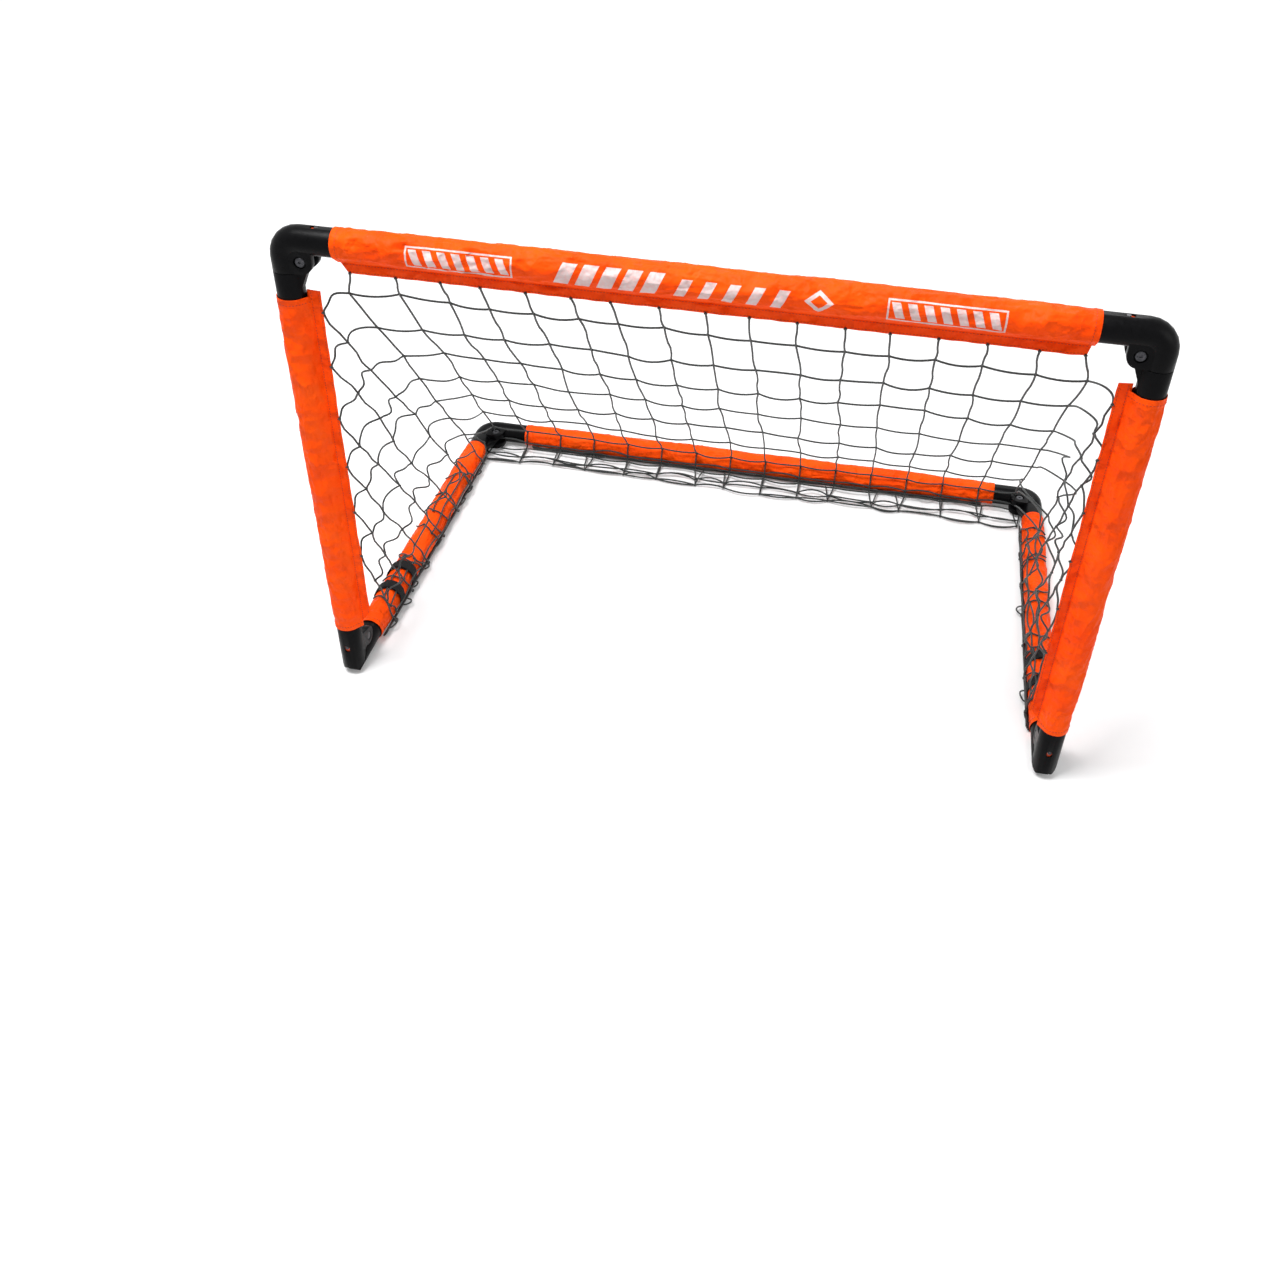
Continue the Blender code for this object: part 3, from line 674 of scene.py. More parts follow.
def new_object(name: str, mesh: bpy.types.Mesh) -> bpy.types.Object:
    """An object of this mesh in the scene."""
    obj = bpy.data.objects.new(name, mesh)
    bpy.context.scene.collection.objects.link(obj)
    return obj


@contextmanager
def open_mesh(obj: bpy.types.Object) -> Iterator[bmesh.types.BMesh]:
    """Open an object's mesh for editing, and write it back at the end."""
    mesh = bmesh.new()
    mesh.from_mesh(obj.data)
    yield mesh
    mesh.to_mesh(obj.data)
    mesh.free()


def dress(obj: bpy.types.Object, look: Material, slot: Slot | None = None) -> None:
    """Give an object its only material."""
    obj.data.materials.clear()
    obj.data.materials.append(look)


def skin(name: str, grid: np.ndarray, chart: np.ndarray, wrap: bool) -> bpy.types.Object:
    """A surface through a grid of points.

    Args:
        name: The object's name.
        grid: Points, by row and column.
        chart: Their places on the cloth in metres, with one column more where the grid wraps.
        wrap: Whether the last column joins the first.

    Returns:
        The new object, smooth all over.
    """
    rows, columns = grid.shape[:2]
    steps = columns if wrap else columns - 1
    faces = []
    corners = []
    for row in range(rows - 1):
        for column in range(steps):
            after = (column + 1) % columns
            base = row * columns
            above = base + columns
            faces.append((base + column, base + after, above + after, above + column))
            corners.append(chart[row, column])
            corners.append(chart[row, column + 1])
            corners.append(chart[row + 1, column + 1])
            corners.append(chart[row + 1, column])
    mesh = bpy.data.meshes.new(name)
    mesh.from_pydata(grid.reshape(-1, 3).tolist(), [], faces)
    layer = mesh.uv_layers.new(name="cloth")
    layer.data.foreach_set("uv", np.array(corners, np.float32).ravel())
    mesh.shade_smooth()
    return new_object(name, mesh)


@dataclass(frozen=True)
class Stitch:
    """One stitch of thick thread: a low six-sided capsule."""

    half_length: float = 0.0014
    width: float = 0.00036
    sides: int = 6
    profile: tuple[Pair, ...] = ((-1.0, 0.35), (-0.55, 1.0), (0.55, 1.0), (1.0, 0.35))

    def add(self, mesh: bmesh.types.BMesh, middle: Vector, run: Vector, out: Vector) -> None:
        """Add the stitch to a mesh, in its second material.

        Args:
            mesh: The mesh to add to.
            middle: The stitch's middle.
            run: Direction that it runs in.
            out: Direction off the cloth.
        """
        across = run.cross(out).normalized()
        rings = []
        for step, girth in self.profile:
            ring = []
            for corner in range(self.sides):
                turn = math.tau * corner / self.sides
                offset = across * math.cos(turn) + out * math.sin(turn)
                place = middle + run * (step * self.half_length) + offset * (self.width * girth)
                ring.append(mesh.verts.new(place))
            rings.append(ring)
        for near, far in zip(rings, rings[1:]):
            for corner in range(self.sides):
                after = (corner + 1) % self.sides
                face = mesh.faces.new((near[after], near[corner], far[corner], far[after]))
                face.material_index = 1
                face.smooth = True
        for ring in (rings[0], list(reversed(rings[-1]))):
            mesh.faces.new(ring).material_index = 1


@dataclass
class Workshop:
    """The finishes, each made once."""

    plastic: Material = field(default_factory=lambda: MouldedPlastic().build())
    steel: Material = field(default_factory=lambda: PaintedSteel().build())
    fastener: Material = field(default_factory=lambda: BlackenedSteel().build())
    twine: Material = field(default_factory=lambda: Twine().build())
    webbing: Material = field(default_factory=lambda: HookAndLoop().build())
    thread: Material = field(default_factory=lambda: StitchThread().build())
    fabric: Material = field(default_factory=lambda: SleeveFabric().build())
    # the seam's cloth is a little darker, partly as painted shade on the flanges
    seam_fabric: Material = field(default_factory=lambda: seam_fabric().build())


def noise_triple(place: Vector, step: Vector = Vector((5.2, 9.7, 3.1))) -> Vector:
    """Three smooth noises, each between about -1 and 1, read from place on by step."""
    return Vector([noise.noise(place + step * axis) for axis in range(3)])


def smooth_step(share: float) -> float:
    """A share between 0 and 1, eased in and out."""
    return share * share * (3 - 2 * share)


def belly(share: float) -> float:
    """A hump that is 0 at both ends of a run and 1 at its middle."""
    return 4 * share * (1 - share)


def shares(steps: int) -> list[float]:
    """Even shares of a run, from 0 up to, and without, 1."""
    return [step / steps for step in range(steps)]


def on_way(near: float | np.ndarray, far: float | np.ndarray, share: float) -> float | np.ndarray:
    """The value or place at this share of the way from near to far."""
    return near + (far - near) * share


@dataclass(frozen=True)
class Creases:
    """Relief of loose cloth that is drawn over a bar and gathered at its hems."""

    seed_steps: Triple = (7.3, 3.1, 1.7)
    swells_per_metre: float = 8.0
    swell_round: float = 0.8
    warp_scale: float = 1.4
    warp_share: float = 0.9
    folds_per_metre: float = 19.0
    fold_slant: float = 1.3
    fold_turn: float = 0.8
    fold_power: int = 6
    dent_scale: float = 1.6
    dent_power: float = 0.8
    small_scale: float = 2.6
    small_power: int = 5
    gather_run: float = 0.035
    gather_waves: float = 300.0
    gather_scale: float = 2.0
    gather_wander: float = 4.0
    gather_share: float = 0.3
    swell_share: float = 0.50
    fold_share: float = 0.45
    dent_share: float = 0.55
    small_share: float = 0.16
    sink: float = 0.05

    def relief(self, along: float, angle: float, to_end: float, seed: int) -> float:
        """Height of the creases.

        Args:
            along: Metres from the sleeve's start.
            angle: Angle from the seam in radians.
            to_end: Metres to the nearer end.
            seed: Number of the sleeve.

        Returns:
            The height, between about -1 and 1.
        """
        offset = Vector([seed * step for step in self.seed_steps])
        round_it = Vector((0.0, math.cos(angle), math.sin(angle)))
        wide = Vector((along * self.swells_per_metre, 0.0, 0.0)) + round_it * self.swell_round + offset
        warp = noise_triple(wide * self.warp_scale)
        slanted = along * self.folds_per_metre + self.fold_slant * math.cos(angle - self.fold_turn)
        fine = Vector((slanted, 0.0, 0.0)) + round_it + offset + warp * self.warp_share
        fold = (1.0 - abs(noise.noise(fine))) ** self.fold_power
        dent = -max(0.0, noise.noise(fine * self.dent_scale + warp)) ** self.dent_power
        small = (1.0 - abs(noise.noise(fine * self.small_scale))) ** self.small_power
        wander = self.gather_wander * noise.noise(wide * self.gather_scale)
        ring = math.exp(-to_end / self.gather_run) * math.sin(along * self.gather_waves + wander)
        height = self.swell_share * noise.noise(wide) + self.fold_share * fold
        height += self.dent_share * dent + self.small_share * small
        return height + self.gather_share * ring - self.sink


@dataclass
class FabricSleeve:
    """A loose polyester sleeve round one bar, creased and hemmed."""

    name: str
    node: str
    bar: Bar
    seed: int
    look: Material
    thread: Material
    has_flange: bool
    creases: Creases = Creases()
    radius: float = 0.0218
    end_radius: float = 0.0212
    least_radius: float = 0.0192
    least_end_gain: float = 0.0013
    seam_reach: float = 0.0268
    crease_depth: float = 0.0030
    end_crease_share: float = 0.10
    cloth_thickness: float = 0.0006
    row_pitch: float = 0.0032
    hem_rows: tuple[float, ...] = (0.0, 0.0008, 0.003, 0.0055, 0.008, 0.0099, 0.0108, 0.0125)
    plain_from: float = 0.015
    hem_width: float = 0.0105
    hem_rise: float = 0.0004
    columns: int = 80
    end_run: float = 0.034
    stitches_round: int = 30
    stitch_inset: float = 0.0025
    stitch_lift: float = 0.00012
    floor_gap: float = 0.0006

    def radius_at(self, along: float, angle: float) -> float:
        """Distance of the cloth from the bar's axis.

        Args:
            along: Metres from the sleeve's start.
            angle: Angle from the seam in radians.

        Returns:
            The radius there in metres.
        """
        to_end = max(0.0, min(along, self.bar.length - along))
        loose = smooth_step(min(1.0, to_end / self.end_run))
        relief = self.creases.relief(along, angle, to_end, self.seed)
        depth = self.crease_depth * (self.end_crease_share + (1 - self.end_crease_share) * loose)
        radius = self.end_radius + (self.radius - self.end_radius) * loose + depth * relief
        radius = max(radius, self.least_radius + self.least_end_gain * (1 - loose))
        if self.has_flange:
            radius = max(radius, self.teardrop(angle, radius))
        if to_end < self.hem_width:
            radius += self.hem_rise
        return radius

    def teardrop(self, angle: float, radius: float) -> float:
        """Radius where the cloth runs straight from the bar to the seam."""
        turn = abs((angle + math.pi) % math.tau - math.pi)
        touch = math.acos(min(1.0, radius / self.seam_reach))
        if turn >= touch:
            return radius
        return radius / math.cos(touch - turn)

    def rows(self) -> list[float]:
        """Places of the rows of points, closer together at the hems."""
        length = self.bar.length
        plain = length - 2 * self.plain_from
        count = round(plain / self.row_pitch)
        middle = [self.plain_from + plain * step / count for step in range(count + 1)]
        return [*self.hem_rows, *middle, *(length - place for place in reversed(self.hem_rows))]

    def point(self, along: float, angle: float, lift: float = 0.0) -> Vector:
        """A point of the cloth, or one lifted off it."""
        radial = self.bar.seam * math.cos(angle) + self.bar.around() * math.sin(angle)
        centre = self.bar.start + self.bar.direction * along
        place = centre + radial * (self.radius_at(along, angle) + lift)
        place.z = max(place.z, self.floor_gap)
        return place

    def build(self) -> bpy.types.Object:
        """Make the sleeve in place of its CAD node.

        Returns:
            The new sleeve.
        """
        places = self.rows()
        grid = np.zeros((len(places), self.columns, 3))
        chart = np.zeros((len(places), self.columns + 1, 2))
        for row, along in enumerate(places):
            for column in range(self.columns):
                grid[row, column] = self.point(along, math.tau * column / self.columns)
            chart[row, :, 0] = along
            chart[row, :, 1] = np.linspace(0, math.tau * self.radius, self.columns + 1)
        sleeve = skin(self.name, grid, chart, wrap=True)
        wall = sleeve.modifiers.new("Wall", "SOLIDIFY")
        wall.thickness = self.cloth_thickness
        wall.offset = -1.0
        settle(sleeve)
        dress(sleeve, self.look, Slot.FABRIC)
        self.sew_hems(sleeve)
        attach(sleeve, self.bar.body)
        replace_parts(sleeve, self.node)
        flat = (math.tau * self.radius, self.bar.length)
        LOG.info("%s: %d faces", self.name, len(sleeve.data.polygons))
        return sleeve

    def sew_hems(self, sleeve: bpy.types.Object) -> None:
        """Add a ring of stitches at each hem."""
        sleeve.data.materials.append(self.thread)
        stitch = Stitch()
        inset = self.hem_width - self.stitch_inset
        with open_mesh(sleeve) as mesh:
            for along in (inset, self.bar.length - inset):
                for number in range(self.stitches_round):
                    angle = math.tau * (number + 0.5) / self.stitches_round
                    middle = self.point(along, angle, self.stitch_lift)
                    ahead = self.point(along, angle + 0.03, self.stitch_lift)
                    out = self.point(along, angle, 0.01) - middle
                    stitch.add(mesh, middle, (ahead - middle).normalized(), out.normalized())


@dataclass
class SeamFlange:
    """The flat double seam of a sleeve, with two rows of stitches."""

    name: str
    bar: Bar
    run: Pair
    seed: int
    cloth: Material
    thread: Material
    fold_joint: str
    tapers: Pair
    root: float = 0.0235
    fold_line: float = 0.0212
    tip: float = 0.0413
    lip: float = 0.0006
    net_gap: float = 0.0008
    thickness: float = 0.0014
    wave: float = 0.0022
    wave_power: float = 1.4
    waves_per_metre: Pair = (11.0, 34.0)
    waves_across: float = 40.0
    pucker: float = 0.0007
    puckers_per_metre: float = 60.0
    seed_steps: Triple = (5.0, 2.0, 3.0)
    taper_run: float = 0.05
    column_pitch: float = 0.004
    reach_steps: int = 8
    stitch_pitch: float = 0.0044
    stitch_rows: tuple[float, ...] = (0.0284, 0.0391)
    stitch_margin: float = 0.004
    stitch_lift: float = 0.00005
    sharp_degrees: float = 50.0
    keep: float = 0.03

    def point(self, along: float, reach: float, lift: float = 0.0) -> Vector:
        """A point of the flange.

        Args:
            along: Metres from the sleeve's start.
            reach: Distance from the bar's axis.
            lift: Height over the middle of the cloth.

        Returns:
            The point in the part's frame.
        """
        share = max(0.0, self.share(reach))
        broad, fine = self.waves_per_metre
        seeds = [self.seed * step for step in self.seed_steps]
        sway = noise.noise(Vector((along * broad, seeds[0], 0.0)))
        sway += 0.5 * noise.noise(Vector((along * fine, seeds[1], reach * self.waves_across)))
        across = self.bar.around() * (self.wave * sway * share**self.wave_power + lift)
        pucker = noise.noise(Vector((along * self.puckers_per_metre, seeds[2], 4.0)))
        reach += self.pucker * pucker * share
        return self.bar.start + self.bar.direction * along + self.bar.seam * reach + across

    def share(self, reach: float) -> float:
        """How far out a reach lies, from 0 at the flange's root to 1 at its tip."""
        return (reach - self.root) / (self.tip - self.root)

    def edge(self, along: float) -> Vector:
        """A point just past the flange's outer edge, where the net is sewn in."""
        return self.point(along, self.tip + self.net_gap)

    def shift(self, along: float, reach: float) -> float:
        """Where a column lies at this reach, so that the flange's ends slant."""
        start, end = self.run
        near = max(0.0, 1 - (along - start) / self.taper_run) * self.tapers[0]
        far = max(0.0, 1 - (end - along) / self.taper_run) * self.tapers[1]
        return along + (near - far) * self.share(reach)

    def build(self) -> bpy.types.Object:
        """Make the flange and its stitches.

        Returns:
            The flange, with its stitches joined to it.
        """
        start, end = self.run
        columns = max(4, round((end - start) / self.column_pitch))
        reaches = np.linspace(self.root, self.tip, self.reach_steps)
        half = self.thickness / 2
        outline = [(reach, half) for reach in reaches]
        outline += [(self.tip + self.lip, 0.0)]
        outline += [(reach, -half) for reach in reversed(reaches)]
        grid = np.zeros((columns + 1, len(outline), 3))
        chart = np.zeros((columns + 1, len(outline) + 1, 2))
        for column in range(columns + 1):
            along = start + (end - start) * column / columns
            for place, (reach, lift) in enumerate(outline):
                grid[column, place] = self.point(self.shift(along, reach), reach, lift)
                chart[column, place] = (along, reach if lift >= 0 else 2 * self.tip - reach)
            chart[column, -1] = (along, 2 * self.tip - self.root)
        flange = skin(self.name, grid, chart, wrap=True)
        self.close_ends(flange, len(outline))
        dress(flange, self.cloth, Slot.FABRIC)
        flange.data.materials.append(self.thread)
        self.sew(flange)
        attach(flange, self.bar.body)
        tuple(self.bar.seam)
        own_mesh(flange)
        LOG.info("%s: %d faces", self.name, len(flange.data.polygons))
        return flange

    def close_ends(self, flange: bpy.types.Object, count: int) -> None:
        """Fill both open ends of the flange, whose rows hold count points."""
        with open_mesh(flange) as mesh:
            mesh.verts.ensure_lookup_table()
            mesh.faces.new([mesh.verts[place] for place in range(count)])
            last = len(mesh.verts) - count
            mesh.faces.new([mesh.verts[last + place] for place in reversed(range(count))])
            bmesh.ops.recalc_face_normals(mesh, faces=mesh.faces)
        flange.data.shade_smooth()
        flange.data.set_sharp_from_angle(angle=math.radians(self.sharp_degrees))

    def sew(self, flange: bpy.types.Object) -> None:
        """Add rows of short stitches on both faces of the flange."""
        start, end = self.run
        stitch = Stitch()
        with open_mesh(flange) as mesh:
            for reach in self.stitch_rows:
                first = start + self.tapers[0] * self.share(reach) + self.stitch_margin
                last = end - self.tapers[1] * self.share(reach) - self.stitch_margin
                count = int((last - first) / self.stitch_pitch)
                for face_side in (1, -1):
                    lift = face_side * (self.thickness / 2 + self.stitch_lift)
                    for number in range(count + 1):
                        along = first + number * self.stitch_pitch
                        middle = self.point(along, reach, lift)
                        run = self.point(along + 0.001, reach, lift) - middle
                        stitch.add(mesh, middle, run.normalized(), self.bar.around() * face_side)


@dataclass
class Twiner:
    """Makes meshes of round twine with a knot at each crossing."""

    radius: float = 0.0016
    sides: int = 6
    knot_radius: float = 0.0028
    knot_form: Triple = (1.0, 0.8, 1.25)
    start_across: Triple = (0.31, 0.17, 0.93)

    def tube(self, points: np.ndarray, first_index: int) -> tuple[list, list, list]:
        """One strand as a capped tube.

        Args:
            points: The strand's middle line.
            first_index: Index that its first vertex gets.

        Returns:
            Vertices, faces and the faces' corner coordinates.
        """
        steps = np.diff(points, axis=0)
        lengths = np.linalg.norm(steps, axis=1)
        along = np.concatenate([[0.0], np.cumsum(lengths)])
        tangents = np.zeros_like(points)
        tangents[:-1] += steps / lengths[:, None]
        tangents[1:] += steps / lengths[:, None]
        tangents /= np.linalg.norm(tangents, axis=1)[:, None]
        normal = np.cross(tangents[0], self.start_across)
        normal /= np.linalg.norm(normal)
        verts = []
        for point, tangent in zip(points, tangents):
            normal = normal - tangent * (normal @ tangent)
            normal /= np.linalg.norm(normal)
            other = np.cross(tangent, normal)
            for side in range(self.sides):
                turn = math.tau * side / self.sides
                verts.append(point + self.radius * (normal * math.cos(turn) + other * math.sin(turn)))
        faces = []
        corners = []
        for ring in range(len(points) - 1):
            for side in range(self.sides):
                after = (side + 1) % self.sides
                base = first_index + ring * self.sides
                above = base + self.sides
                faces.append((base + side, base + after, above + after, above + side))
                low, high = side / self.sides, (side + 1) / self.sides
                corners += [(along[ring], low), (along[ring], high)]
                corners += [(along[ring + 1], high), (along[ring + 1], low)]
        last = first_index + (len(points) - 1) * self.sides
        faces.append(tuple(first_index + side for side in reversed(range(self.sides))))
        faces.append(tuple(last + side for side in range(self.sides)))
        corners += [(0.0, 0.0)] * self.sides + [(along[-1], 0.0)] * self.sides
        return verts, faces, corners

    def knot_shape(self) -> tuple[np.ndarray, list]:
        """A small knot: a rounded lump that two loops of twine leave, modelled once."""
        deselect_all()
        bpy.ops.mesh.primitive_uv_sphere_add(segments=6, ring_count=4, radius=1.0)
        lump = bpy.context.object
        bpy.ops.object.mode_set(mode="EDIT")
        bpy.ops.mesh.select_all(action="SELECT")
        bpy.ops.transform.resize(value=self.knot_form)
        bpy.ops.object.mode_set(mode="OBJECT")
        verts = np.array([vert.co for vert in lump.data.vertices])
        faces = [tuple(face.vertices) for face in lump.data.polygons]
        bpy.data.objects.remove(lump)
        return verts, faces

    def weave(self, name: str, strands: list[np.ndarray], knots: list[tuple]) -> bpy.types.Object:
        """Join strands and knots into one mesh.

        Args:
            name: The piece's name.
            strands: The middle line of each strand.
            knots: The place of each knot and the direction of its strand.

        Returns:
            The netting.
        """
        verts: list = []
        faces: list = []
        corners: list = []
        for points in strands:
            new_verts, new_faces, new_corners = self.tube(points, len(verts))
            verts += new_verts
            faces += new_faces
            corners += new_corners
        shape, shape_faces = self.knot_shape()
        for place, direction in knots:
            turn = Vector(direction).to_track_quat("Z", "Y").to_matrix()
            base = len(verts)
            turned = (shape * self.knot_radius) @ np.array(turn).T + np.array(place)
            verts += list(turned)
            for face in shape_faces:
                faces.append(tuple(base + vert for vert in face))
                corners += [(shape[vert][2] * 0.002, shape[vert][0] * 0.5) for vert in face]
        mesh = bpy.data.meshes.new(name)
        mesh.from_pydata([tuple(vert) for vert in verts], [], faces)
        layer = mesh.uv_layers.new(name="twine")
        layer.data.foreach_set("uv", np.array(corners, np.float32).ravel())
        mesh.shade_smooth()
        return new_object(name, mesh)


def smooth_noise(place: np.ndarray, seed: float, per_metre: float, gain: float = 1.6) -> np.ndarray:
    """A smooth random direction for a place, each part between about -gain and gain."""
    base = Vector(place) * per_metre + Vector((seed, 0.0, 5.0))
    return np.array(noise_triple(base, Vector((0.0, 17.0, 0.0)))) * gain


@dataclass
class StrandShape:
    """How a stretch of twine hangs between two knots."""

    sag: float
    curl: float
    steps: int
    bow: Triple = (0.0, 0.0, -1.0)
    sag_spread: Pair = (0.35, 1.5)
    lift_share: float = 0.5

    def between(self, first: np.ndarray, second: np.ndarray, dice: random.Random) -> list[np.ndarray]:
        """Points from the first knot up to, and without, the second.

        Args:
            first: Place of the first knot.
            second: Place of the second knot.
            dice: Source of the small differences.

        Returns:
            The points.
        """
        gap = second - first
        span = float(np.linalg.norm(gap))
        side = np.cross(gap / max(span, 1e-6), (0.0, 0.0, 1.0))
        size = float(np.linalg.norm(side))
        side = side / size if size > 1e-3 else np.array((1.0, 0.0, 0.0))
        drop = span * self.sag * dice.uniform(*self.sag_spread)
        swing = span * self.curl * dice.uniform(-1.0, 1.0)
        twist = span * self.curl * dice.uniform(-1.0, 1.0)
        points = []
        for share in shares(self.steps):
            hump = belly(share)
            wave = math.sin(math.tau * share) * hump
            place = first + gap * share + side * (swing * hump + twist * wave)
            place = place + np.array(self.bow) * (drop * hump)
            place[2] += self.lift_share * twist * wave
            points.append(place)
        return points

    def through(self, knots: list[np.ndarray], dice: random.Random) -> np.ndarray:
        """The middle line of a strand that runs through all of these knots."""
        points = []
        for near, far in zip(knots, knots[1:]):
            points += self.between(near, far, dice)
        return np.array([*points, knots[-1]])


@dataclass(frozen=True)
class FloorStop:
    """One place of a slack warp on the floor: its way in from the rear bar, height and spreads."""

    inward: float
    height: float
    inward_spread: float = 0.0
    height_spread: float = 0.0

    def draw(self, dice: random.Random) -> Pair:
        """The way in from the rear bar's axis and the height of one warp's place."""
        if not self.inward_spread:
            return self.inward, self.height
        inward = self.inward + dice.uniform(0, self.inward_spread)
        return inward, self.height + dice.uniform(0, self.height_spread)


SLACK_ROUTE = (
    FloorStop(0.031, 0.0080),
    FloorStop(0.043, 0.0040),
    FloorStop(0.056, 0.0030, 0.008, 0.003),
    FloorStop(0.074, 0.0034, 0.012, 0.004),
    FloorStop(0.058, 0.0072, 0.008, 0.003),
    FloorStop(0.040, 0.0080),
    FloorStop(0.026, 0.0060),
)


@dataclass
class BackNet:
    """The meshed net from the crossbar's seam down to the rear bar, and its left edge strand."""

    frame: GoalFrame
    shop: Workshop
    top_edge: SeamFlange
    twiner: Twiner = field(default_factory=Twiner)
    warps: int = 17
    rows: int = 7
    top_half: float = 0.490
    right_foot_x: float = 0.5435
    foot_pitch: float = 0.0735
    first_row: float = 0.095
    row_pitch: float = 0.152
    wrap_radius: float = 0.0252
    corner_floor: Triple = (-0.556, 0.275, 0.0045)
    corner_cells: int = 9
    wrap_degrees: tuple[float, ...] = (135.0, 152.0, 172.0, 192.0, 208.0)
    skirt_drift: float = 0.022
    skirt_split: float = 0.17
    skirt_wefts: tuple[int, ...] = (5, 7, 8, 8, 9)
    bar_weft_rise: Pair = (-5.0, 16.0)
    floor_weft_bow: Pair = (-0.010, 0.012)
    floor_weft_hop: float = 0.004
    weft_steps: int = 6
    blend_drop: float = 0.041
    blend_lead: float = 0.030
    blend_rise: float = 0.016
    pressed: float = 0.0222
    seed: int = 11
    jitter: float = 0.0045
    jitter_per_metre: float = 9.46
    top_slip: float = 0.012
    sag: float = 0.004
    outward_pull: Pair = (0.023, 0.018)
    first_cell_change: Pair = (-0.036, 0.018)
    pull_columns: float = 1.3
    pull_rows: float = 2.2
    warp_shape: StrandShape = field(default_factory=lambda: StrandShape(0.004, 0.014, 5))
    weft_shape: StrandShape = field(default_factory=lambda: StrandShape(0.050, 0.055, 7))

    def bar_point(self, x: float, degrees: float) -> np.ndarray:
        """A point on the rear bar's sleeve, by its turn from the rear towards the top."""
        turn = math.radians(degrees)
        depth = self.frame.rear_y + self.wrap_radius * math.cos(turn)
        return np.array((x, depth, self.frame.floor_z + self.wrap_radius * math.sin(turn)))

    def foot_x(self, column: int) -> float:
        """Where a warp meets the rear bar."""
        return self.right_foot_x - (self.warps - 1 - column) * self.foot_pitch

    def top(self, column: int) -> np.ndarray:
        """Where a warp leaves the crossbar's seam."""
        share = column / (self.warps - 1) * 2 - 1
        inside = 1.0 if 0 < column < self.warps - 1 else 0.0
        slip = self.top_slip * inside * noise.noise(Vector((column * 3.7, 2.0, self.seed)))
        along = share * self.top_half + slip - self.top_edge.bar.start.x
        return np.array(self.top_edge.edge(along))

    def fades(self, column: int) -> Pair:
        """How much of the pull of the left and of the right edge reaches a warp."""
        left = math.exp(-column / self.pull_columns)
        right = math.exp(-(self.warps - 1 - column) / self.pull_columns)
        return left, right

    def knot(self, row: int, column: int) -> np.ndarray:
        """Place of one knot.

        Args:
            row: Rows below the crossbar's seam.
            column: Warps from the left.

        Returns:
            The knot's place.
        """
        top = self.top(column)
        left, right = self.fades(column)
        early = math.exp(-(row - 1) / self.pull_rows)
        change = (left * self.first_cell_change[0] + right * self.first_cell_change[1]) * early
        change = change if row else 0.0
        if column and row > self.rows:
            return self.bar_point(self.foot_x(column), self.wrap_degrees[3])
        if column == 0:
            foot = np.array(self.corner_floor)
            share = row / self.corner_cells + change / float(np.linalg.norm(foot - top))
        else:
            foot = self.bar_point(self.foot_x(column), self.wrap_degrees[0])
            below = self.first_row + self.row_pitch * (row - 1) if row else 0.0
            share = min(1.0, (below + change) / float(np.linalg.norm(foot - top)))
        place = on_way(top, foot, share)
        if 0 < share < 0.99:
            middle = belly(share)
            loose = min(1.0, middle * 2)
            place = place + smooth_noise(place, self.seed, self.jitter_per_metre) * self.jitter * loose
            place[0] += (right * self.outward_pull[1] - left * self.outward_pull[0]) * early
            place[2] -= self.sag * middle
        return place

    def skirt(self, column: int, dice: random.Random) -> list[np.ndarray]:
        """The slack end of one warp, round the rear bar and on the floor."""
        x = self.foot_x(column)
        points = [self.bar_point(x, degrees) for degrees in self.wrap_degrees]
        route = [stop.draw(dice) for stop in SLACK_ROUTE]
        drift = dice.uniform(-self.skirt_drift, self.skirt_drift)
        for step, (inward, height) in enumerate(route):
            across = x + drift * step / len(route)
            points.append(np.array((across, self.frame.rear_y - inward, height)))
        return points

    def strands(self) -> tuple[list[np.ndarray], list[tuple]]:
        """Every strand's line and every knot above the rear bar's face."""
        dice = random.Random(self.seed)
        lines = []
        knots = []
        for column in range(self.warps):
            cells = self.corner_cells if column == 0 else self.rows
            places = [self.knot(row, column) for row in range(cells + 1)]
            lines.append(self.warp_shape.through(places, dice))
            knots += [(near, far - near) for near, far in zip(places, places[1:])]
        for row in range(1, self.rows + 1):
            places = [self.knot(row, column) for column in range(self.warps)]
            lines.append(self.weft_shape.through(places, dice))
        return lines, knots

    def skirt_strands(self, ends: list) -> tuple[list[np.ndarray], list[tuple]]:
        """The strands and knots of one stretch of the skirt, between its slack warps."""
        dice = random.Random(self.seed + len(ends))
        lines = [np.array(points) for points in ends]
        knots = []
        for points in ends:
            face, edge, loose = points[0], points[3], points[8]
            knots += [(face, (0.0, 0.6, -0.8)), (edge, (0.0, 0.1, -1.0)), (loose, (0.0, 1.0, 0.2))]
        lines.append(self.bar_weft(ends, dice))
        for place in self.skirt_wefts:
            lines.append(self.floor_weft(ends, place, dice))
        return lines, knots

    def bar_weft(self, ends: list, dice: random.Random) -> np.ndarray:
        """The weft that lies low on the rear bar's face."""
        points = []
        for near, far in zip(ends, ends[1:]):
            rise = dice.uniform(*self.bar_weft_rise)
            for share in shares(self.weft_steps):
                x = on_way(near[3][0], far[3][0], share)
                points.append(self.bar_point(x, self.wrap_degrees[3] - rise * belly(share)))
        points.append(ends[-1][3])
        return np.array(points)

    def floor_weft(self, ends: list, place: int, dice: random.Random) -> np.ndarray:
        """A slack weft that lies on the floor in front of the rear bar."""
        points = []
        for near, far in zip(ends, ends[1:]):
            bow = dice.uniform(*self.floor_weft_bow)
            hop = dice.uniform(0.0, self.floor_weft_hop)
            for share in shares(self.weft_steps):
                point = on_way(near[place], far[place], share)
                point[1] -= bow * belly(share)
                point[2] = max(self.twiner.radius, point[2] + hop * belly(share))
                points.append(point)
        points.append(ends[-1][place])
        return np.array(points)

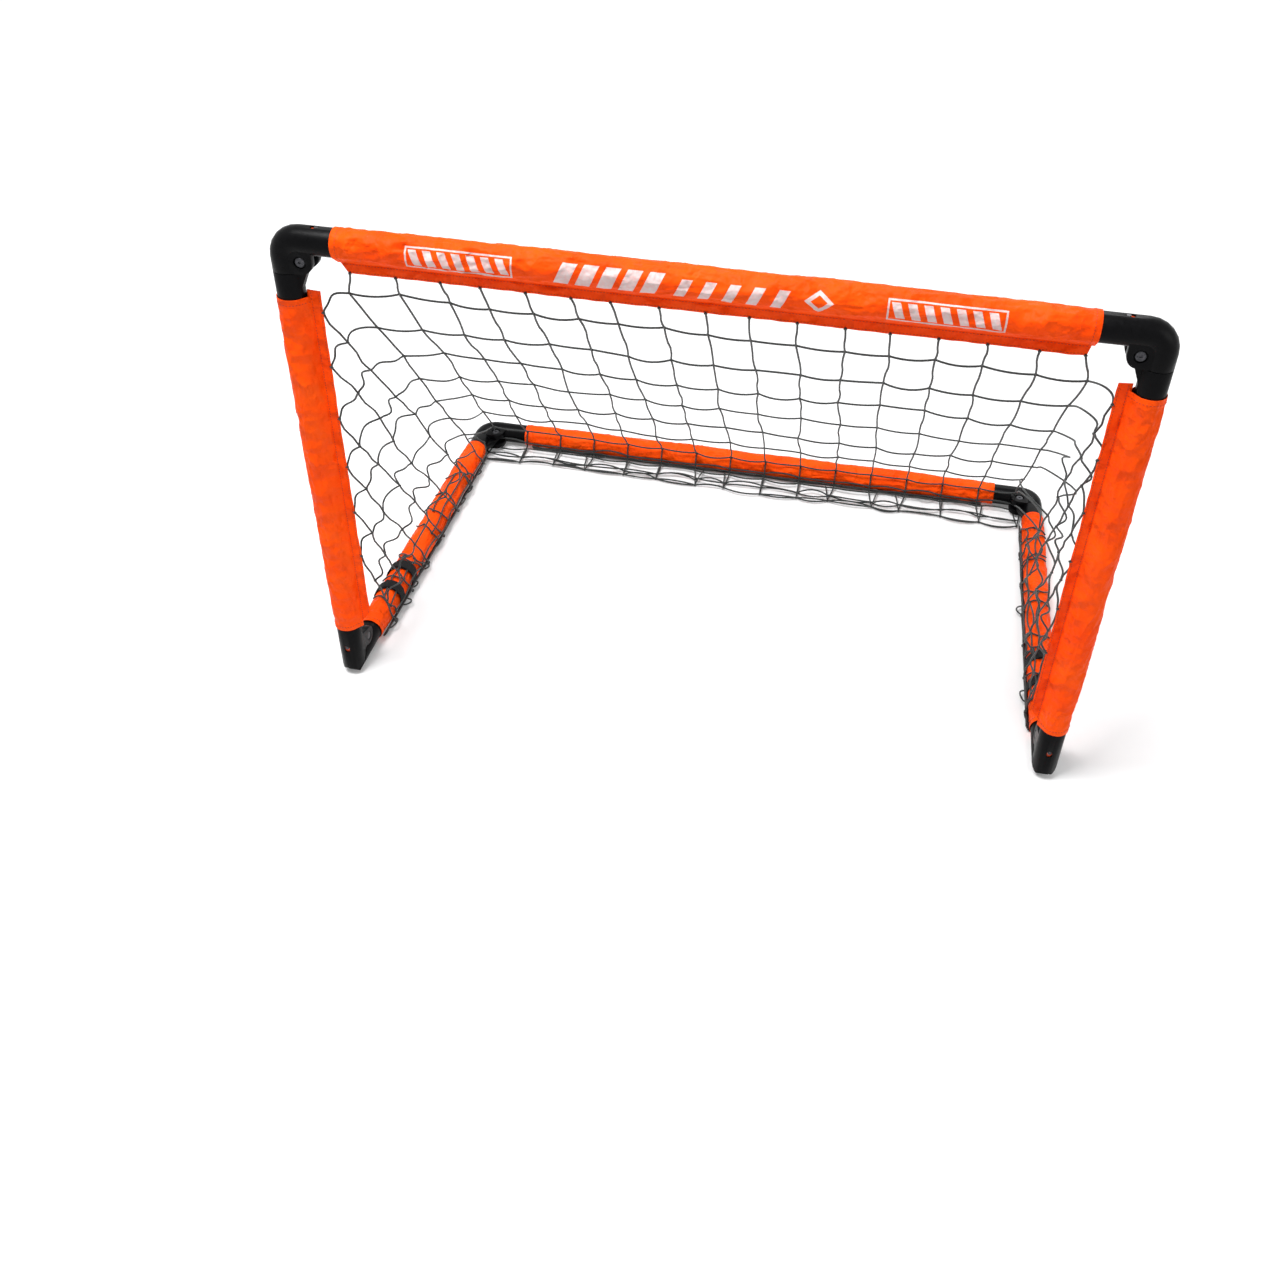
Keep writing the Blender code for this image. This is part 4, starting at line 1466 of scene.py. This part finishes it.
    def build(self) -> bpy.types.Object:
        """Make the net in place of its CAD node."""
        lines, knots = self.strands()
        net = self.twiner.weave("back_net", lines, knots)
        dress(net, self.shop.twine, Slot.TWINE)
        start = (0.0, self.frame.front_y, self.frame.bar_z - self.blend_drop)
        end = (0.0, self.frame.rear_y - self.blend_lead, self.frame.floor_z + self.blend_rise)
        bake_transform(net, "front_crossbar", "rear_bar", start=start, end=end)
        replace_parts(net, "net_back")
        LOG.info("back net: %d faces", len(net.data.polygons))
        self.build_skirts()
        return net

    def build_skirts(self) -> None:
        """Make the skirt in two stretches.

        The warp between the two stretches belongs to the left one.
        """
        dice = random.Random(self.seed + 1)
        ends = [self.skirt(column, dice) for column in range(1, self.warps)]
        split = next(place for place, points in enumerate(ends) if points[0][0] > self.skirt_split)
        stretches = {Side.LEFT: ends[: split + 1], Side.RIGHT: ends[split:]}
        for side, stretch in stretches.items():
            lines, knots = self.skirt_strands(stretch)
            if side is Side.RIGHT:
                lines = lines[1:]
            skirt = self.twiner.weave(f"back_net_{side.label}_skirt", lines, knots)
            dress(skirt, self.shop.twine, Slot.TWINE)
            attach(skirt, "rear_bar")
            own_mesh(skirt)


@dataclass
class SideNet:
    """A triangular side net, with strands along the slope and slack strands across it."""

    side: Side
    frame: GoalFrame
    shop: Workshop
    back: BackNet
    post_edge: SeamFlange
    twiner: Twiner = field(default_factory=Twiner)
    cells: int = 9
    strands: int = 6
    floor_inset: float = 0.0240
    floor_height: float = 0.0045
    first_floor_y: float = 0.275
    floor_step: float = 0.0875
    post_top_drop: float = 0.022
    post_step: float = 0.0853
    jitter: float = 0.0060
    jitter_per_metre: float = 12.9
    jitter_seed: int = 40
    dice_seed: int = 70
    clear_radius: float = 0.0256
    floor_gap: float = 0.0006
    warp_shape: StrandShape = field(default_factory=lambda: StrandShape(0.010, 0.026, 6))
    weft_shape: StrandShape = field(
        default_factory=lambda: StrandShape(0.24, 0.13, 12, bow=(0.0, -0.72, 0.70))
    )

    def post_knot(self, number: int) -> np.ndarray:
        """Where strand number starts on the upright's seam."""
        height = self.frame.bar_z - self.post_top_drop - number * self.post_step
        start = self.post_edge.bar.start
        return np.array(self.post_edge.edge(max(0.0, height - start.z)))

    def floor_knot(self, number: int) -> np.ndarray:
        """Where strand number ends on the side bar's lower edge."""
        across = self.side.value * (self.frame.post_x - self.floor_inset)
        return np.array((across, self.first_floor_y - number * self.floor_step, self.floor_height))

    def knot(self, row: int, number: int) -> np.ndarray:
        """Place of one knot.

        Args:
            row: Cells down the slope.
            number: Strands in from the back net.

        Returns:
            The knot's place.
        """
        if number == 0:
            column = 0 if self.side is Side.LEFT else self.back.warps - 1
            return self.back.knot(row, column)
        first, last = self.post_knot(number), self.floor_knot(number)
        share = (row - number) / (self.cells - number)
        place = on_way(first, last, share)
        if 0 < share < 1:
            loose = min(1.0, 1.5 * belly(share))
            seed = self.jitter_seed + self.side.value
            place = place + smooth_noise(place, seed, self.jitter_per_metre) * self.jitter * loose
        return place

    def lies_on_bar(self, point: np.ndarray) -> np.ndarray:
        """Move a point out of the side bar's sleeve."""
        axis = np.array((self.side.value * self.frame.post_x, point[1], self.frame.floor_z))
        away = point - axis
        distance = max(float(np.linalg.norm(away)), 1e-6)
        return point if distance >= self.clear_radius else axis + away * (self.clear_radius / distance)

    def lines(self) -> tuple[list[np.ndarray], list[tuple]]:
        """Every strand's line and every knot."""
        dice = random.Random(self.dice_seed + self.side.value)
        lines = []
        knots = []
        for number in range(1, self.strands + 1):
            places = [self.knot(row, number) for row in range(number, self.cells + 1)]
            lines.append(self.clear(self.warp_shape.through(places, dice)))
            knots += [(near, far - near) for near, far in zip(places, places[1:])]
            knots.append((places[-1], (0.0, 1.0, 0.3)))
        for row in range(1, self.cells):
            places = [self.knot(row, number) for number in range(min(row, self.strands) + 1)]
            lines.append(self.clear(self.weft_shape.through(places, dice)))
        return lines, knots

    def clear(self, points: np.ndarray) -> np.ndarray:
        """The points, kept off the bar and above the floor."""
        moved = np.array([self.lies_on_bar(point) for point in points])
        moved[:, 2] = np.maximum(moved[:, 2], self.twiner.radius + self.floor_gap)
        return moved

    def build(self) -> bpy.types.Object:
        """Make the net in place of its CAD node."""
        lines, knots = self.lines()
        label = self.side.label
        net = self.twiner.weave(f"{label}_side_net", lines, knots)
        dress(net, self.shop.twine, Slot.TWINE)
        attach(net, f"{label}_upright")
        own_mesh(net)
        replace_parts(net, f"net_{label}")
        LOG.info("%s side net: %d faces", label, len(net.data.polygons))
        return net


@dataclass(frozen=True)
class LoopPlan:
    """Sizes and chances of the small slack loops that stand out from a hem."""

    pitch: float = 0.075
    pitch_spread: Pair = (0.4, 1.5)
    margins: Pair = (0.03, 0.04)
    reach: Pair = (0.006, 0.016)
    width: Pair = (0.014, 0.034)
    rise: Pair = (0.001, 0.010)
    lift: float = 0.0012
    degrees: float = 40.0
    steps: int = 10
    chance: float = 0.6


@dataclass(frozen=True)
class FacePlan:
    """Sizes and chances of the net's last cells, which wrap over a bar's face."""

    turns: tuple[float, ...] = (34.0, -8.0, -48.0, -88.0, -132.0)
    pitch: Pair = (0.040, 0.066)
    margins: Pair = (0.05, 0.02)
    drift: float = 0.016
    sway: float = 9.0
    warp_bend: float = 0.006
    warp_steps: int = 6
    warp_lift: float = 0.0004
    weft_bend: float = 17.0
    weft_steps: int = 8
    weft_lift: float = 0.0006
    missing: float = 0.15
    seed_step: int = 50


@dataclass
class FloorHem:
    """The gathered edge of a net on a ground bar's inner side, partly net and partly painted shadow."""

    name: str
    start: Vector
    end: Vector
    inward: Vector
    body: str
    fold_joint: str
    shop: Workshop
    seed: int
    wraps_face: bool
    pressed: float = 0.0226
    keep: float = 0.12
    cord: Twiner = field(default_factory=lambda: Twiner(radius=0.0015, sides=5))
    reach: float = 0.0256
    floor_gap: float = 0.0004
    # cords bunched low on the bar's inner side: partly the gathered net, partly painted shadow where the bar
    # meets the floor
    turns: tuple[float, ...] = (24.0, 33.0, 42.0, 49.0)
    cord_pitch: float = 0.006
    cord_sway: float = 11.0
    cord_lift: float = 0.0014
    cord_waves_per_metre: Pair = (18.0, 23.0)
    slack: LoopPlan = LoopPlan()
    face: FacePlan = FacePlan()

    @property
    def length(self) -> float:
        """Length of the hem along the bar."""
        return (self.end - self.start).length

    def on_bar(self, along: float, degrees: float, lift: float = 0.0) -> np.ndarray:
        """A point on the sleeve, by its turn down from the inner side."""
        turn = math.radians(degrees)
        direction = (self.end - self.start).normalized()
        place = self.start + direction * along
        place += self.inward * ((self.reach + lift) * math.cos(turn))
        place += DOWN * ((self.reach + lift) * math.sin(turn))
        place.z = max(place.z, self.cord.radius + self.floor_gap)
        return np.array(place)

    def cord_line(self, degrees: float, phase: float) -> np.ndarray:
        """A cord that wanders along the bar's lower edge."""
        count = round(self.length / self.cord_pitch)
        slow, quick = self.cord_waves_per_metre
        points = []
        for step in range(count + 1):
            along = self.length * step / count
            sway = self.cord_sway * noise.noise(Vector((along * slow, phase, self.seed)))
            lift = self.cord_lift * (1 + noise.noise(Vector((along * quick, phase + 9, self.seed))))
            points.append(self.on_bar(along, degrees + sway, lift))
        return np.array(points)

    def loops(self) -> list[np.ndarray]:
        """Small slack loops of twine that stand out from the cord."""
        dice = random.Random(self.seed)
        plan = self.slack
        lines = []
        along = plan.margins[0]
        while along < self.length - plan.margins[1]:
            reach, width, rise = (dice.uniform(*span) for span in (plan.reach, plan.width, plan.rise))
            points = []
            for step in range(plan.steps + 1):
                turn = math.pi * step / plan.steps
                base = self.on_bar(along - math.cos(turn) * width / 2, plan.degrees)
                lift = plan.lift + rise * math.sin(turn) ** 2
                out = np.array(self.inward) * (reach * math.sin(turn))
                points.append(base + out + np.array((0, 0, lift)))
            if dice.random() < plan.chance:
                lines.append(np.array(points))
            along += plan.pitch * dice.uniform(*plan.pitch_spread)
        return lines

    def crossings(self, dice: random.Random) -> list[list[Pair]]:
        """Where each warp of the last cells crosses the face: ways along the bar and turns."""
        warps = []
        along = self.face.margins[0]
        while along < self.length - self.face.margins[1]:
            drift = 0.0
            places = []
            for degrees in self.face.turns:
                drift += dice.uniform(-self.face.drift, self.face.drift)
                places.append((along + drift, degrees + dice.uniform(-self.face.sway, self.face.sway)))
            warps.append(places)
            along += dice.uniform(*self.face.pitch)
        return warps

    def face_net(self) -> tuple[list[np.ndarray], list[tuple]]:
        """The net's last cells, wrapped over the bar's face from its outer side to its lower edge."""
        dice = random.Random(self.seed + self.face.seed_step)
        lines = []
        knots = []
        crossings = self.crossings(dice)
        for places in crossings:
            points = []
            for near, far in zip(places, places[1:]):
                bend = dice.uniform(-self.face.warp_bend, self.face.warp_bend)
                cell = []
                for share in shares(self.face.warp_steps):
                    reach = on_way(near[0], far[0], share) + bend * belly(share)
                    cell.append(self.on_bar(reach, on_way(near[1], far[1], share), self.face.warp_lift))
                knots.append((cell[0], cell[-1] - cell[0]))
                points += cell
            points.append(self.on_bar(*places[-1], self.face.warp_lift))
            lines.append(np.array(points))
        for near_places, far_places in zip(crossings, crossings[1:]):
            for near, far in list(zip(near_places, far_places))[1:-1]:
                if dice.random() < self.face.missing:
                    continue
                bend = dice.uniform(-self.face.weft_bend, self.face.weft_bend)
                points = []
                for share in (*shares(self.face.weft_steps), 1.0):
                    turn = on_way(near[1], far[1], share) + bend * math.sin(math.pi * share)
                    points.append(self.on_bar(on_way(near[0], far[0], share), turn, self.face.weft_lift))
                lines.append(np.array(points))
        return lines, knots

    def build(self) -> bpy.types.Object:
        """Make the hem, whose cords are partly painted shadow along the bar's lower edge.

        Returns:
            The cords and their loops as one piece.
        """
        lines = [self.cord_line(turn, 3.0 * number) for number, turn in enumerate(self.turns)]
        lines += self.loops()
        hem = self.cord.weave(self.name, lines, [])
        dress(hem, self.shop.twine, Slot.TWINE)
        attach(hem, self.body)
        tuple(self.inward)
        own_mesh(hem)
        if self.wraps_face:
            wrap = self.cord.weave(f"{self.name}_wrap", *self.face_net())
            dress(wrap, self.shop.twine, Slot.TWINE)
            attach(wrap, self.body)
        LOG.info("%s: %d faces", self.name, len(hem.data.polygons))
        return hem


@dataclass
class HookStrap:
    """A hook-and-loop strap wound once round a sleeve, with its tail laid over its start."""

    name: str
    node: str
    body: str
    look: Material
    rests_on: str
    seed: int
    inner_radius: float = 0.0236
    thickness: float = 0.0017
    slant: float = 0.0042
    slant_turn: float = 0.6
    drift: float = 0.0022
    drifts_per_turn: float = 0.9
    overlap: float = 1.25
    overlap_gap: float = 0.0003
    climb_turn: float = 0.5
    tail_turn: float = 0.35
    tail_lift: float = 0.0009
    cup: float = 0.0012
    cup_sink: float = 0.0002
    cups_per_turn: float = 1.6
    cups_per_metre: float = 60.0
    start_turn: float = 0.6
    edge_radius: float = 0.0003
    sharp_degrees: float = 50.0
    floor_gap: float = 0.0002
    columns: int = 9
    rows: int = 96

    @property
    def sweep(self) -> float:
        """How far the strap is wound, in radians."""
        return math.tau + self.overlap

    def reach(self, turn: float) -> float:
        """Distance of the strap's middle from the bar's axis, a turn along its winding."""
        climb = smooth_step(max(0.0, min(1.0, (turn - math.tau + self.climb_turn) / self.climb_turn)))
        tail = max(0.0, (turn - self.sweep + self.tail_turn) / self.tail_turn)
        flat = self.inner_radius + self.thickness / 2 + self.tail_lift * tail * tail
        return flat + climb * (self.thickness + self.overlap_gap)

    def build(self) -> bpy.types.Object:
        """Make the strap in place of its CAD node."""
        low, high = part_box(self.node)
        middle = (low + high) / 2
        width = high.y - low.y
        sweep = self.sweep
        grid = np.zeros((self.rows, self.columns, 3))
        chart = np.zeros((self.rows, self.columns, 2))
        for row in range(self.rows):
            turn = sweep * row / (self.rows - 1)
            radius = self.reach(turn)
            angle = self.start_turn + turn
            drift = self.drift * noise.noise(Vector((turn * self.drifts_per_turn, self.seed, 0)))
            drift += self.slant * math.sin(angle + self.slant_turn)
            for column in range(self.columns):
                across = (column / (self.columns - 1) - 0.5) * width
                wide = across * self.cups_per_metre
                cup = noise.noise(Vector((turn * self.cups_per_turn, wide, self.seed + 3.0)))
                reach = radius + max(-self.cup_sink, self.cup * cup)
                place = (middle.x + reach * math.cos(angle), middle.y + across + drift)
                grid[row, column] = (*place, middle.z + reach * math.sin(angle))
                chart[row, column] = (turn * radius, across)
        strap = skin(self.name, grid, chart, wrap=False)
        wall = strap.modifiers.new("Wall", "SOLIDIFY")
        wall.thickness = self.thickness
        wall.offset = 0.0
        edge = strap.modifiers.new("Edge", "BEVEL")
        edge.width = self.edge_radius
        edge.segments = 2
        edge.limit_method = "ANGLE"
        edge.angle_limit = math.radians(self.sharp_degrees)
        settle(strap)
        lowest = min(vert.co.z for vert in strap.data.vertices)
        strap.data.transform(Matrix.Translation((0, 0, max(0.0, self.floor_gap - lowest))))
        dress(strap, self.look, Slot.WEBBING)
        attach(strap, self.body)
        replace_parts(strap, self.node)
        LOG.info("%s: %d faces", self.name, len(strap.data.polygons))
        return strap


@dataclass
class Fittings:
    """The moulded corners, tubes and fasteners, which keep their CAD shapes."""

    shop: Workshop
    edge_radius: float = 0.0007
    edge_steps: int = 2
    weld: float = 0.00002
    flat_degrees: float = 1.5
    bevel_degrees: float = 32.0
    smooth_degrees: float = 34.0
    rounded: tuple[str, ...] = ("elbow", "socket", "foot", "hinge_end")
    turned: tuple[str, ...] = ("bolt", "nut", "screw")

    def look_of(self, node: str) -> tuple[Material, Slot] | None:
        """The finish of a rigid node, or nothing for a soft one."""
        if any(word in node for word in self.turned):
            return self.shop.fastener, Slot.FASTENER
        if node.endswith("_tube"):
            return self.shop.steel, Slot.STEEL
        if node.endswith(self.rounded):
            return self.shop.plastic, Slot.PLASTIC
        return None

    def round_edges(self, node: str, source: bpy.types.Object) -> bpy.types.Object:
        """A copy of a moulded node with its edges rounded.

        Args:
            node: The node's name.
            source: The node's object.

        Returns:
            The rounded copy.
        """
        mesh = bmesh.new()
        mesh.from_mesh(source.data)
        bmesh.ops.remove_doubles(mesh, verts=mesh.verts, dist=self.weld)
        flat = math.radians(self.flat_degrees)
        bmesh.ops.dissolve_limit(mesh, angle_limit=flat, verts=mesh.verts, edges=mesh.edges)
        shape = bpy.data.meshes.new(node)
        mesh.to_mesh(shape)
        mesh.free()
        copy = new_object(f"{node}_moulding", shape)
        bevel = copy.modifiers.new("Edges", "BEVEL")
        bevel.width = self.edge_radius
        bevel.segments = self.edge_steps
        bevel.limit_method = "ANGLE"
        bevel.angle_limit = math.radians(self.bevel_degrees)
        settle(copy)
        pick(copy)
        bpy.ops.object.shade_smooth_by_angle(angle=math.radians(self.smooth_degrees))
        return copy

    def build(self, nodes: dict[str, bpy.types.Object]) -> None:
        """Dress every rigid node, and put rounded mouldings in place of the plastic ones.

        Args:
            nodes: The CAD nodes by name.
        """
        for node, source in nodes.items():
            finish = self.look_of(node)
            if finish is None:
                continue
            look, slot = finish
            for place in source.material_slots:
                place.material = look
            if slot is not Slot.PLASTIC:
                continue
            moulding = self.round_edges(node, source)
            dress(moulding, look, slot)
            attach(moulding, body_of(source)[0])
            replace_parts(moulding, node)
            LOG.info("%s: %d faces", moulding.name, len(moulding.data.polygons))


@dataclass(frozen=True)
class Lamp:
    """One soft square lamp aimed at the goal's middle."""

    name: str
    place: Triple
    size: float
    power: float
    target: Triple = (0.0, 0.0, 0.3)

    def hang(self) -> None:
        """Put the lamp in the scene."""
        data = bpy.data.lights.new(self.name, "AREA")
        data.size = self.size
        data.energy = self.power
        lamp = bpy.data.objects.new(self.name, data)
        lamp.location = self.place
        aim = Vector(self.target) - Vector(self.place)
        lamp.rotation_euler = aim.to_track_quat("-Z", "Y").to_euler()
        bpy.context.scene.collection.objects.link(lamp)


@dataclass
class Studio:
    """The camera of the photograph, a pale floor and soft lamps."""

    focal_px: float = 1282.9
    sensor: float = 36.0
    place: Triple = (0.2335, -1.8984, 1.5033)
    heading: float = math.radians(-8.94)
    tilt: float = math.radians(37.79)
    roll: float = math.radians(2.31)
    centre: Pair = (690.0, 570.0)
    floor_size: float = 40.0
    floor_greys: tuple[int, int] = (226, 231)
    glow_near: float = 0.06
    glow_per_metre: float = 0.13
    glow_gain: float = 0.90
    world_strength: float = 0.34
    lamps: tuple[Lamp, ...] = (
        Lamp("key_lamp", (-0.9, -0.9, 3.4), 1.5, 148.0),
        Lamp("fill_lamp", (3.2, -1.6, 2.0), 2.0, 30.0),
        Lamp("rear_lamp", (0.6, 2.8, 3.0), 1.8, 44.0),
    )

    def camera(self) -> None:
        """Stand the camera where the photograph was taken from."""
        data = bpy.data.cameras.new("camera")
        data.sensor_width = self.sensor
        data.lens = self.focal_px * self.sensor / IMAGE_SIDE
        half = IMAGE_SIDE / 2
        data.shift_x = (half - self.centre[0]) / IMAGE_SIDE
        data.shift_y = (self.centre[1] - half) / IMAGE_SIDE
        data.clip_start = 0.05
        level = math.cos(self.tilt)
        forward = Vector(
            (math.sin(self.heading) * level, math.cos(self.heading) * level, -math.sin(self.tilt))
        )
        right = forward.cross(Vector((0, 0, 1))).normalized()
        above = right.cross(forward)
        cosine, sine = math.cos(self.roll), math.sin(self.roll)
        turned_right = right * cosine + above * sine
        turned_up = above * cosine - right * sine
        axes = Matrix((turned_right, turned_up, -forward)).transposed()
        camera = bpy.data.objects.new("camera", data)
        camera.matrix_world = Matrix.Translation(self.place) @ axes.to_4x4()
        bpy.context.scene.collection.objects.link(camera)
        bpy.context.scene.camera = camera

    def backdrop_material(self) -> Material:
        """Pale floor that shows white to the camera and keeps soft shadows."""
        bench = NodeBench("studio_floor")
        fleck = bench.noise(bench.place(), 3.0, 2.0)
        dull, pale = self.floor_greys
        greys = (colour(dull, dull, dull + 1), colour(pale, pale, pale))
        shade = bench.blend(bench.spread(fleck, 0.0, 1.0), *greys)
        bench.feed(bench.shader.inputs["Base Color"], shade)
        bench.shader.inputs["Roughness"].default_value = 0.9
        bench.shader.inputs["Specular IOR Level"].default_value = 0.1
        bench.shader.inputs["Emission Color"].default_value = WHITE
        path = bench.node("LightPath")
        seen = bench.math("MAXIMUM", path.outputs["Is Camera Ray"], path.outputs["Is Glossy Ray"])
        distance = bench.node("VectorMath", {0: bench.place()}, operation="LENGTH")
        away = bench.math("MULTIPLY", distance.outputs["Value"], self.glow_per_metre)
        far = bench.math("MINIMUM", away, 1.0)
        lift = bench.math("ADD", self.glow_near, bench.math("MULTIPLY", far, self.glow_gain))
        bench.feed(bench.shader.inputs["Emission Strength"], bench.math("MULTIPLY", seen, lift))
        return bench.material

    def floor(self) -> None:
        """Lay the floor."""
        deselect_all()
        bpy.ops.mesh.primitive_grid_add(x_subdivisions=4, y_subdivisions=4, size=self.floor_size)
        floor = bpy.context.object
        floor.name = "studio_floor"
        dress(floor, self.backdrop_material())

    def world(self) -> None:
        """Even pale light from all round, white where the camera looks past the floor."""
        world = bpy.data.worlds.new("studio")
        world.use_nodes = True
        tree = world.node_tree
        ground = tree.nodes["Background"]
        ground.inputs["Color"].default_value = WHITE
        ground.inputs["Strength"].default_value = self.world_strength
        white = tree.nodes.new("ShaderNodeBackground")
        white.inputs["Color"].default_value = WHITE
        white.inputs["Strength"].default_value = 1.0
        path = tree.nodes.new("ShaderNodeLightPath")
        seen = tree.nodes.new("ShaderNodeMath")
        seen.operation = "MAXIMUM"
        tree.links.new(path.outputs["Is Camera Ray"], seen.inputs[0])
        tree.links.new(path.outputs["Is Glossy Ray"], seen.inputs[1])
        mix = tree.nodes.new("ShaderNodeMixShader")
        tree.links.new(seen.outputs[0], mix.inputs["Fac"])
        tree.links.new(ground.outputs[0], mix.inputs[1])
        tree.links.new(white.outputs[0], mix.inputs[2])
        tree.links.new(mix.outputs[0], tree.nodes["World Output"].inputs["Surface"])
        bpy.context.scene.world = world

    def build(self) -> None:
        """Set up the camera, floor and light."""
        self.camera()
        self.floor()
        self.world()
        for lamp in self.lamps:
            lamp.hang()
        bpy.context.scene.view_settings.view_transform = "Standard"


class SoccerGoal:
    """Puts the goal together from its sub-assemblies.

    The slides say how far each sleeve's cloth has slipped along at its start and its end. SPLIT_X is
    where a soft piece along a long bar is parted in two.
    """

    SPLIT_X = 0.19
    CROSSBAR_SLIDE = (0.007, -0.014)
    REAR_BAR_SLIDE = (0.0, 0.010)
    UPRIGHT_SLIDE = (0.025, 0.014)
    SIDE_BAR_SLIDE = (0.0, 0.016)
    PRINT_BAND = (0.0862, 0.1172)
    SIDE_HEM_INSET = 0.085
    REAR_HEM_ENDS = (-0.475, 0.480)

    def __init__(self, nodes: dict[str, bpy.types.Object]) -> None:
        """Measure the frame and make the finishes.

        Args:
            nodes: The CAD nodes by name.
        """
        self.nodes = nodes
        self.frame = GoalFrame.measure()
        self.shop = Workshop()

    def sleeve_bars(self) -> list[tuple[str, Bar, bool]]:
        """Name, bar and flange of each sleeve."""
        bar = self.frame.bar("crossbar_sleeve", 0, DOWN, "front_crossbar", self.CROSSBAR_SLIDE)
        rows = [("crossbar_sleeve", bar, True)]
        rear_seam = Vector((0, -1, -1))
        bar = self.frame.bar("rear_bar_sleeve", 0, rear_seam, "rear_bar", self.REAR_BAR_SLIDE)
        rows.append(("rear_bar_sleeve", bar, False))
        for side in Side:
            inboard = Vector((-side.value, 0, 0))
            upright = f"{side.label}_upright"
            bar = self.frame.bar(f"{upright}_sleeve", 2, inboard, upright, self.UPRIGHT_SLIDE)
            rows.append((f"{upright}_sleeve", bar, True))
            lower = Vector((-side.value, 0, -1))
            side_bar = f"{side.label}_side"
            slide = self.SIDE_BAR_SLIDE
            bar = self.frame.bar(f"{side_bar}_sleeve", 1, lower, f"{side_bar}_bar", slide)
            rows.append((f"{side_bar}_sleeve", bar, False))
        return rows

    def printed_fabric(self, bar: Bar) -> Material:
        """The crossbar's fabric, with plain silver shapes where it carries prints."""
        away = -bar.start.x
        low, high = self.PRINT_BAND
        framed = {"low": low, "high": high, "count": 7, "fill": 0.56, "slant": 0.35, "border": 0.0024}
        plain = {"high": high + 0.001, "count": 5, "slant": -0.45}
        prints = (
            PrintBlock(away - 0.400, away - 0.254, **framed),
            PrintBlock(away - 0.200, away - 0.050, low=low, fill=0.68, **plain),
            PrintBlock(away - 0.040, away + 0.112, low=low + 0.005, fill=0.44, **plain),
            PrintBlock(away + 0.235, away + 0.384, **framed),
            PrintDiamond(away + 0.149, (low + high) / 2, 0.019, 0.0165, bare=0.011),
        )
        return SleeveFabric(name="orange_polyester_printed", prints=prints).build()

    def sleeves(self) -> dict[str, Bar]:
        """Make every sleeve.

        Returns:
            The bars by their sleeve's name.
        """
        bars = {}
        thread = self.shop.thread
        for number, (node, bar, has_flange) in enumerate(self.sleeve_bars()):
            look = self.printed_fabric(bar) if node.startswith("crossbar") else self.shop.fabric
            FabricSleeve(f"{node}_cloth", node, bar, number + 1, look, thread, has_flange).build()
            bars[node] = bar
        return bars

    def flanges(self, bars: dict[str, Bar]) -> dict[str, SeamFlange]:
        """Make the flanges of the crossbar and the uprights."""
        made = {}
        crossbar = bars["crossbar_sleeve"]
        split = self.SPLIT_X - crossbar.start.x
        run = (0.002, split)
        left = self.flange("crossbar_left_flange", crossbar, run, 3, Side.LEFT, (0.012, 0.0))
        run = (split, crossbar.length - 0.003)
        right = self.flange("crossbar_right_flange", crossbar, run, 3, Side.RIGHT, (0.0, 0.004))
        for flange in (left, right):
            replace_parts(flange.build(), "crossbar_flange")
        made["crossbar"] = left
        for side in Side:
            bar = bars[f"{side.label}_upright_sleeve"]
            name = f"{side.label}_upright_flange"
            run = (0.006, bar.length + 0.010)
            flange = self.flange(f"{name}_cloth", bar, run, 5 + side.value, side, (0.024, 0.002))
            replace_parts(flange.build(), name)
            made[side.label] = flange
        return made

    def flange(
        self, name: str, bar: Bar, run: Pair, seed: int, side: Side, tapers: Pair
    ) -> SeamFlange:
        """One flange of a bar, which keeps the name of its side's arm fold."""
        joint = f"{side.label}_arm_fold"
        shop = self.shop
        return SeamFlange(name, bar, run, seed, shop.seam_fabric, shop.thread, joint, tapers)

    def nets(self, flanges: dict[str, SeamFlange]) -> None:
        """Make the three nets and the hems along the ground bars, whose cords are partly painted shadow."""
        back = BackNet(self.frame, self.shop, flanges["crossbar"])
        back.build()
        for side in Side:
            SideNet(side, self.frame, self.shop, back, flanges[side.label]).build()
            across = side.value * self.frame.post_x
            start = Vector((across, self.frame.front_y + self.SIDE_HEM_INSET, self.frame.floor_z))
            end = Vector((across, self.frame.rear_y - self.SIDE_HEM_INSET, self.frame.floor_z))
            inward = Vector((-side.value, 0, 0))
            body = f"{side.label}_side_bar"
            joint = f"{side.label}_arm_fold"
            name = f"{side.label}_net_hem"
            FloorHem(name, start, end, inward, body, joint, self.shop, 20 + side.value, True).build()
            left, right = self.REAR_HEM_ENDS
            reach = (left, self.SPLIT_X) if side is Side.LEFT else (self.SPLIT_X, right)
            start, end = (Vector((x, self.frame.rear_y, self.frame.floor_z)) for x in reach)
            front = Vector((0, -1, 0))
            name = f"rear_{side.label}_net_hem"
            seed = 31 + side.value
            FloorHem(name, start, end, front, "rear_bar", joint, self.shop, seed, False).build()

    def straps(self) -> None:
        """Make the four straps."""
        for side in Side:
            for number, place in enumerate(("front", "rear")):
                node = f"{side.label}_strap_{place}"
                body = f"{side.label}_side_bar"
                sleeve = f"{side.label}_side_sleeve_cloth"
                HookStrap(f"{node}_band", node, body, self.shop.webbing, sleeve, 7 + number).build()

    def build(self) -> None:
        """Make the whole goal."""
        Fittings(self.shop).build(self.nodes)
        bars = self.sleeves()
        flanges = self.flanges(bars)
        self.nets(flanges)
        self.straps()


def main() -> None:
    """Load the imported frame, dress it and set up the studio."""
    logging.basicConfig(level=logging.INFO, format="%(name)s %(message)s")
    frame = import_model()
    SoccerGoal(frame["nodes"]).build()
    Studio().build()


if __name__ == "__main__":
    main()
